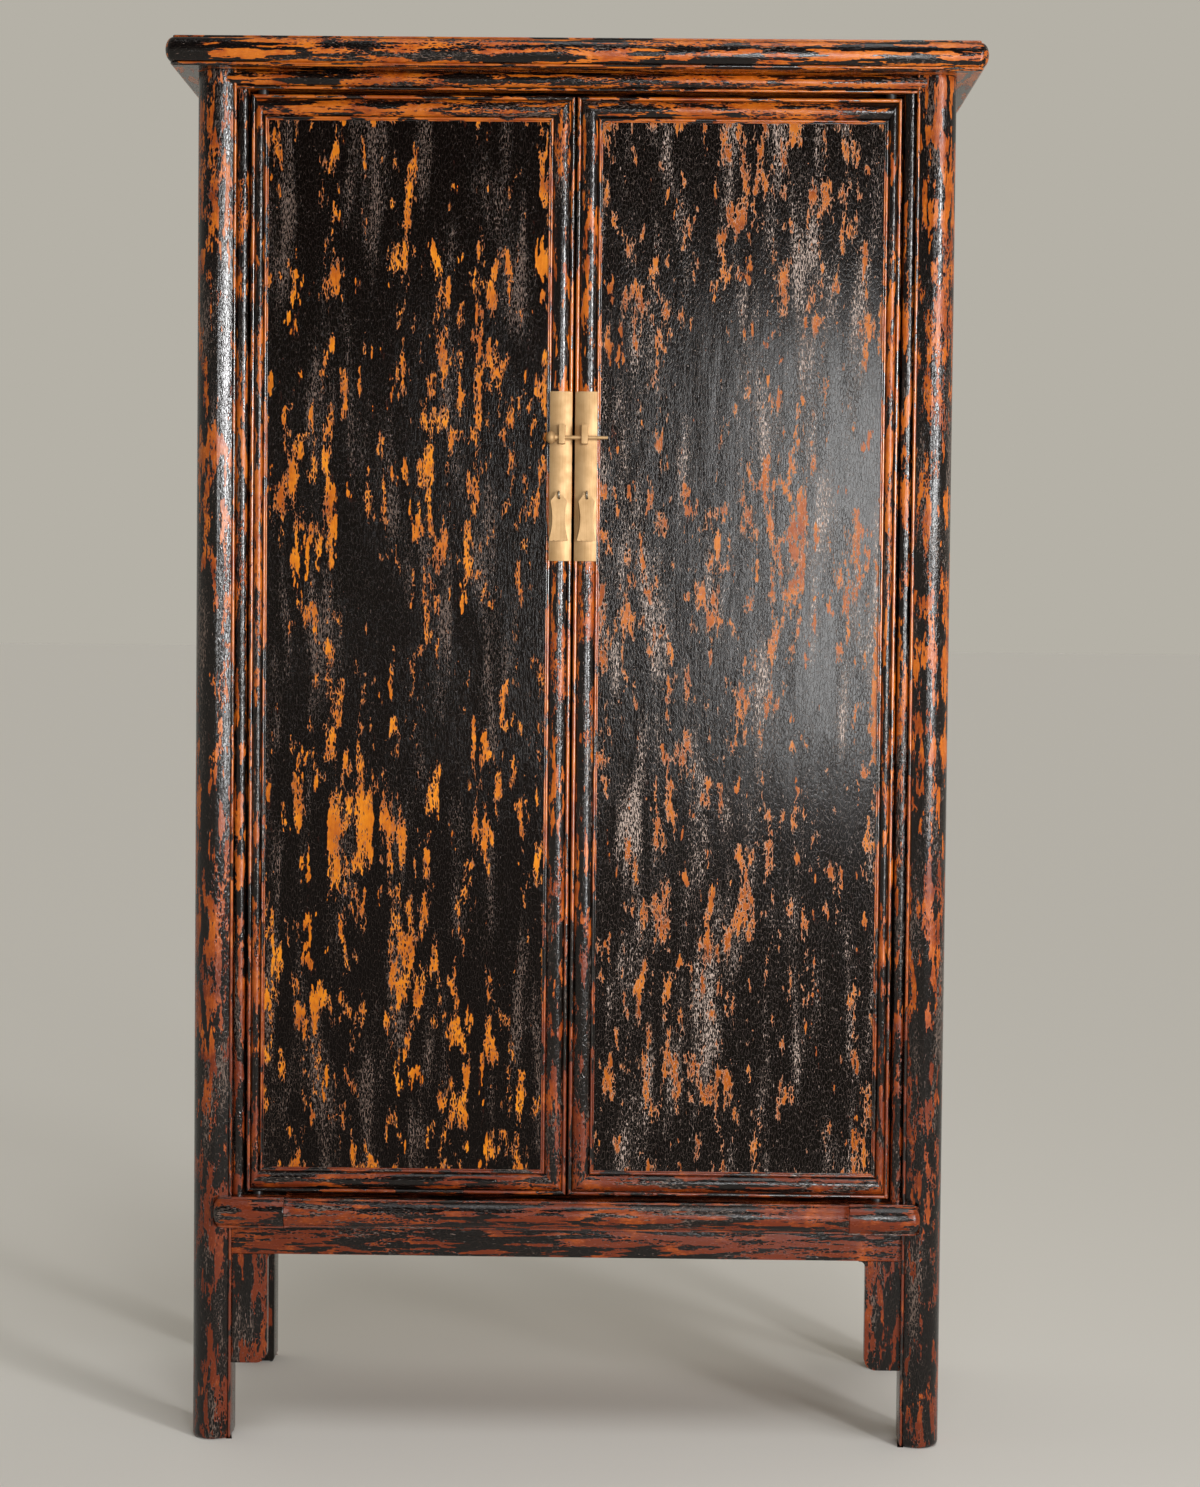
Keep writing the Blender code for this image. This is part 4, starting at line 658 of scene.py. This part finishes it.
def frame_section(width, hinge):
    """Door member as (in from its outer edge, back from its crown): bead, quirk, half round, quirk, bead, and
    a fine line.

    Only the half round grows with the width, so all members have as many points and a mitre runs from point
    to point. A hinge stile's outer corners and bead stay within the circle that clears the jamb as the door
    turns.
    """
    half = DOOR_THICK / 2
    deep = DOOR_LEVEL + QUIRK_DEEP
    back = DOOR_THICK - DOOR_ARRIS
    if hinge:
        place = half - math.sqrt((SWEEP - DOOR_BEAD) ** 2 - (half - DOOR_LEVEL) ** 2)
        lean = 180 + math.degrees(math.atan2(half - DOOR_LEVEL, half - place))
        flat = math.degrees(math.acos(half / SWEEP))
        back_corner = arc(half, half, SWEEP, SWEEP, 90 + flat, 180 - flat, 6)
        front_corner = arc(half, half, SWEEP, SWEEP, 180 + flat, lean, 6)
    else:
        place = DOOR_BEAD
        lean = 180.0
        back_corner = arc(DOOR_ARRIS, back, DOOR_ARRIS, DOOR_ARRIS, 90, 180, 6)
        front_corner = np.linspace([0.0, half], [0.0, DOOR_LEVEL], 6)
    outer_bead = arc(place, DOOR_LEVEL, DOOR_BEAD, DOOR_BEAD, lean, 360, 11)[1:]
    first = place + DOOR_BEAD + QUIRK
    last = width - 2 * INNER_LINE - 2 * INNER_BEAD - QUIRK
    face = crown(first, last, min(DOOR_LEVEL + QUIRK, DOOR_CROWN_SHARE * (last - first)), 27)
    inner_bead = arc(last + QUIRK + INNER_BEAD, DOOR_LEVEL, INNER_BEAD, INNER_BEAD, 180, 360, 9)
    inner_line = arc(width - INNER_LINE, DOOR_LEVEL, INNER_LINE, INNER_LINE, 180, 360, 7)
    inside = arc(width - DOOR_ARRIS, back, DOOR_ARRIS, DOOR_ARRIS, 0, 90, 4)
    return tagged((inside, BODY), (back_corner, BODY), (front_corner, BODY), (outer_bead[:-1], BEAD),
                  (outer_bead[-1:], GROOVE), ([[first - QUIRK / 2, deep]], GROOVE), (face[:-1], BODY),
                  (face[-1:], GROOVE), ([[last + QUIRK / 2, deep]], GROOVE), (inner_bead, BEAD),
                  (inner_line, BEAD))


def build_door(word, side):
    """Door frame: four mouldings mitred point to point from the outer to the inner corner, and two dowels."""
    body = f"{word}_door"
    low, high = corners(f"{word}_door_meeting_stile")
    hinge_low, hinge_high = corners(f"{word}_door_hinge_stile")
    front, foot, head = low[1], low[2], high[2]
    meeting_edge = low[0] if side > 0 else high[0]
    hinge_edge = hinge_high[0] if side > 0 else hinge_low[0]
    meeting, tags = frame_section(high[0] - low[0], False)
    hinge, _ = frame_section(hinge_high[0] - hinge_low[0], True)
    rail, _ = frame_section(DOOR_RAIL, False)
    for end, edge, section, inward in (("meeting", meeting_edge, meeting, side),
                                       ("hinge", hinge_edge, hinge, -side)):
        grid = carry(section, (edge, front, foot), inward * X, Y, Z, head - foot,
                     cut=(rail[:, 0], rail[:, 0]))
        node = f"{word}_door_{end}_stile"
        piece(f"{node}_wood", grid, body, [node], UPRIGHTS, tags)
    span = abs(hinge_edge - meeting_edge)
    for level, z, inward in (("top", head, -1.0), ("bottom", foot, 1.0)):
        grid = carry(rail, (meeting_edge, front, z), inward * Z, Y, side * X, span,
                     cut=(meeting[:, 0], hinge[:, 0]))
        node = f"{word}_door_{level}_rail"
        piece(f"{node}_wood", grid, body, [node], LEVELS, tags)
    dowel = arc(0.0, 0.0, PIVOT_RADIUS, PIVOT_RADIUS, 0, 345, 24)
    axis_x = side * (abs(hinge_edge) - DOOR_THICK / 2)
    for end, start, stop in (("foot", hinge_low[2], foot), ("head", head, hinge_high[2])):
        grid = carry(dowel, (axis_x, front + DOOR_THICK / 2, start), X, Y, Z, stop - start,
                     ease=(PIVOT_ARRIS, PIVOT_ARRIS))
        # The dowels sit in the dark gaps at the door's ends, so they take the painted shade of the quirks.
        piece(f"{word}_door_{end}_pivot", grid, body, [], (QUIRK_SHADE,))
    board(f"{word}_door_batten", "X", ELM_X, body=body)


def build_jambs():
    """Jambs: a rectangle with a shallow round front carried up beside each door."""
    for word in SIDES:
        node = f"jamb_{word}"
        low, high = corners(node)
        width, back, tall = high - low
        section = np.concatenate([crown(0.0, width, JAMB_ROUND, 17), [[width, back], [0.0, back]]])
        grid = carry(section, low, X, Y, Z, tall)
        piece(f"{node}_wood", grid, "carcass", [node], (UPRIGHT,))


def build_boards():
    """Boards of the carcass: rails and aprons in lacquer, and bare elm inside."""
    for word in SIDES:
        board(f"apron_{word}", "Y", SIDE_RAIL)
        for level in ("top", "bottom"):
            board(f"{level}_rail_{word}", "Y", SIDE_RAIL, RAIL_BOARD_ARRIS)
        for level in ("lower", "upper"):
            board(f"shelf_bearer_{level}_{word}", "Y", ELM_Y)
    for level in ("top", "bottom"):
        board(f"{level}_rail_rear", "X", LEVEL, RAIL_BOARD_ARRIS)
    for level in ("lower", "upper"):
        board(f"shelf_{level}", "X", ELM_X, SHELF_ARRIS)
    board("back_muntin", "Z", ELM_Z, SHELF_ARRIS)
    board("apron_front", "X", LEVEL, THIN_ARRIS)


def build_spandrels():
    """Spandrels: a board whose inner edge runs down from a fillet under the apron to a rounded toe."""
    for word, side in SIDES.items():
        node = f"spandrel_{word}"
        low, high = corners(node)
        inner, outer = sorted((abs(low[0]), abs(high[0])))
        fillet = arc(inner, high[2] - SPANDREL_FILLET, SPANDREL_FILLET, SPANDREL_FILLET, 90, 0, 9)
        toe = arc(inner + SPANDREL_FILLET + SPANDREL_TOE, low[2] + SPANDREL_TOE, SPANDREL_TOE, SPANDREL_TOE,
                  180, 270, 9)
        outline = np.concatenate([[[outer, high[2]]], fillet, toe, [[outer, low[2]]]])
        grid = carry(outline, (0.0, low[1], 0.0), side * X, Z, Y, high[1] - low[1],
                     ease=(THIN_ARRIS, THIN_ARRIS))
        piece(f"{node}_wood", grid, "carcass", [node], (UPRIGHT,))


def build_plate(word):
    """Lock plate: a thin arc carried up the meeting stile. Lug: a block with eased edges."""
    body = f"{word}_door"
    node = f"{word}_lock_plate"
    low, high = corners(node)
    stile_low, stile_high = corners(f"{word}_door_meeting_stile")
    middle = (stile_low[0] + stile_high[0]) / 2
    offset = np.linspace(low[0] - middle, high[0] - middle, 25)
    fall = PLATE_RADIUS - np.sqrt(PLATE_RADIUS ** 2 - offset ** 2)
    face = np.stack([offset, fall], axis=1)
    section = np.concatenate([face, face[::-1] + [0.0, PLATE_THICK]])
    grid = carry(section, (middle, low[1], low[2]), X, Y, Z, high[2] - low[2],
                 ease=(PLATE_ARRIS, PLATE_ARRIS))
    piece(f"{node}_sheet", grid, body, [node], (BRASS,))
    board(f"{word}_lock_lug", "Z", BRASS, LUG_ARRIS, body)


def build_eye(word):
    """Split eye: a round wire carried along two legs and a ring, which lie in an upright plane."""
    node = f"{word}_pull_eye"
    low, high = corners(node)
    x = (low[0] + high[0]) / 2
    z = (low[2] + high[2]) / 2
    opening = math.degrees(math.asin(EYE_LEG / EYE_RADIUS))
    ring = arc(low[1] + EYE_WIRE + EYE_RADIUS, z, EYE_RADIUS, EYE_RADIUS, opening, 360 - opening, 41)
    path = np.concatenate([[[high[1], z + EYE_LEG]], ring, [[high[1], z - EYE_LEG]]])
    ahead = np.gradient(path, axis=0)
    ahead /= np.linalg.norm(ahead, axis=1, keepdims=True)
    beside = np.stack([-ahead[:, 1], ahead[:, 0]], axis=1)
    angle = np.linspace(0, 2 * np.pi, 13)[:-1]
    yz = path[:, None, :] + EYE_WIRE * np.cos(angle)[None, :, None] * beside[:, None, :]
    xs = np.broadcast_to(x + EYE_WIRE * np.sin(angle), yz.shape[:2])
    grid = np.concatenate([xs[..., None], yz], axis=2)
    piece(f"{node}_wire", grid, f"{word}_door", [node], (STEEL,))


def build_pin():
    """Lock pin: a profile (radius, place along the pin) turned about the pin's axis."""
    low, high = corners("lock_pin")
    middle = (low + high) / 2
    ball = arc(0.0, low[0] + KNOB_HALF, KNOB_RADIUS, KNOB_HALF, -85, 58, 15)
    neck = PIN_NECK + [0.0, low[0]]
    shoulder = neck[-1, 1]
    shank = [[PIN_RADIUS, shoulder], [PIN_RADIUS, shoulder + PIN_STRAIGHT],
             [PIN_TIP[0], high[0] - PIN_TIP_LENGTH], [PIN_TIP[1], high[0]]]
    radius, place = np.concatenate([ball, neck, shank]).T
    angle = np.linspace(0, 2 * np.pi, 25)[:-1]
    ring = np.stack([np.zeros_like(angle), np.cos(angle), np.sin(angle)], axis=1)
    grid = radius[:, None, None] * ring + place[:, None, None] * X + np.array([0.0, middle[1], middle[2]])
    piece("lock_pin_turned", grid, "lock_pin", ["lock_pin"], (BRASS,))


def paint(node, material):
    """Give a CAD node that keeps its shape its finish."""
    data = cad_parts[node].data
    data.materials.clear()
    data.materials.append(material)


build_posts()
build_cap()
build_top_rail()
build_stretcher()
build_jambs()
build_boards()
build_spandrels()
for word, side in SIDES.items():
    build_door(word, side)
    build_plate(word)
    build_eye(word)
    paint(f"side_panel_{word}", SIDE_PANEL)
    paint(f"back_panel_{word}", ELM_Z)
    paint(f"{word}_pull", BRASS)
build_pin()
paint("left_door_panel", LEFT_PANEL)
paint("right_door_panel", RIGHT_PANEL)
paint("cap_panel", CAP_PANEL)
paint("floor_panel", ELM_X)


FLOOR_REACH = 200.0
FLOOR_PALE = "#ECE9E3"
AIR_PALE = "#B5B1A7"
AIR_DIM = "#565553"


def build_floor():
    """Floor: one square in matt pale paint, which scatters light evenly and mirrors nothing."""
    material, tree = new_material("painted_floor")
    sockets = {"Base Color": linear(FLOOR_PALE), "Roughness": 0.9, "Specular IOR Level": 0.0}
    add(tree, "OutputMaterial", {"Surface": add(tree, "BsdfPrincipled", sockets)})
    mesh = bpy.data.meshes.new("studio_floor")
    square = FLOOR_REACH * np.array([[-1, -1, 0], [1, -1, 0], [1, 1, 0], [-1, 1, 0]])
    mesh.from_pydata(square.tolist(), [], [(0, 1, 2, 3)])
    mesh.materials.append(material)
    floor = bpy.data.objects.new("studio_floor", mesh)
    bpy.context.scene.collection.objects.link(floor)


def build_surround():
    """Pale surround that is dimmer high up in front."""
    world = bpy.data.worlds.new("studio")
    bpy.context.scene.world = world
    world.use_nodes = True
    tree = world.node_tree
    tree.nodes.clear()
    towards = add(tree, "TexCoord", out="Generated")
    parts = add(tree, "SeparateXYZ", (towards,)).node.outputs
    front = add(tree, "MapRange", (parts["Y"], -0.7, 0.5, 1.0, 0.0), **SMOOTH)
    high = add(tree, "MapRange", (parts["Z"], 0.03, 0.16), **SMOOTH)
    dim = add(tree, "Math", (front, high), operation="MULTIPLY")
    tone = add(tree, "ValToRGB", (dim,), stops=[(0.0, AIR_PALE), (1.0, AIR_DIM)])
    add(tree, "OutputWorld", {"Surface": add(tree, "Background", {"Color": tone, "Strength": 1.0})})


def lamp(name, kind, place, target, power, **settings):
    """Lamp at a place, turned to its target, that the camera doesn't see."""
    data = bpy.data.lights.new(name, kind)
    data.energy = power
    for key, value in settings.items():
        setattr(data, key, value)
    made = bpy.data.objects.new(name, data)
    bpy.context.scene.collection.objects.link(made)
    made.location = place
    made.rotation_euler = (Vector(target) - Vector(place)).to_track_quat("-Z", "Y").to_euler()
    made.visible_camera = False


def build_lamps():
    """Two suns and two upright panels with grids, which keep them off the floor."""
    lamp("key_panel", "AREA", (1.75, -2.6, 1.08), (0.0, -0.2, 1.1), 13.5,
         shape="RECTANGLE", size=0.28, size_y=1.3, spread=math.radians(100))
    lamp("low_sun", "SUN", (3.83, -4.56, 1.60), (0.0, 0.0, 1.0), 1.2, angle=math.radians(10))
    lamp("top_sun", "SUN", (0.6, -1.6, 4.5), (0.0, 0.0, 1.0), 0.7, angle=math.radians(30))
    lamp("sheen_panel", "AREA", (0.72, -4.3, 1.30), (0.25, -0.2, 1.15), 4.6,
         shape="RECTANGLE", size=0.6, size_y=1.2, spread=math.radians(50))


CAMERA_PLACE = (0.0829, -3.9493, 1.072)
CAMERA_TURN = (-0.682, 2.2067, 0.5551)
FOCAL_PIXELS = 2841.4
PICTURE_PIXELS = 1487
SENSOR = 36.0


def build_camera():
    """Camera at the photograph's viewing point: yaw, pitch and roll in degrees, about 2 degrees down."""
    yaw, pitch, roll = np.radians(CAMERA_TURN)
    ahead = np.array([np.sin(yaw) * np.cos(pitch), np.cos(yaw) * np.cos(pitch), -np.sin(pitch)])
    right = np.array([np.cos(yaw), -np.sin(yaw), 0.0])
    up = np.cross(right, ahead)
    turned_right = right * np.cos(roll) + up * np.sin(roll)
    turned_up = up * np.cos(roll) - right * np.sin(roll)
    data = bpy.data.cameras.new("camera")
    data.sensor_width = SENSOR
    data.lens = SENSOR * FOCAL_PIXELS / PICTURE_PIXELS
    made = bpy.data.objects.new("camera", data)
    bpy.context.scene.collection.objects.link(made)
    turn = Matrix(np.stack([turned_right, turned_up, -ahead], axis=1).tolist()).to_4x4()
    made.matrix_world = Matrix.Translation(CAMERA_PLACE) @ turn
    bpy.context.scene.camera = made


build_floor()
build_surround()
build_lamps()
build_camera()
bpy.context.scene.view_settings.view_transform = "Standard"
bpy.context.view_layer.update()
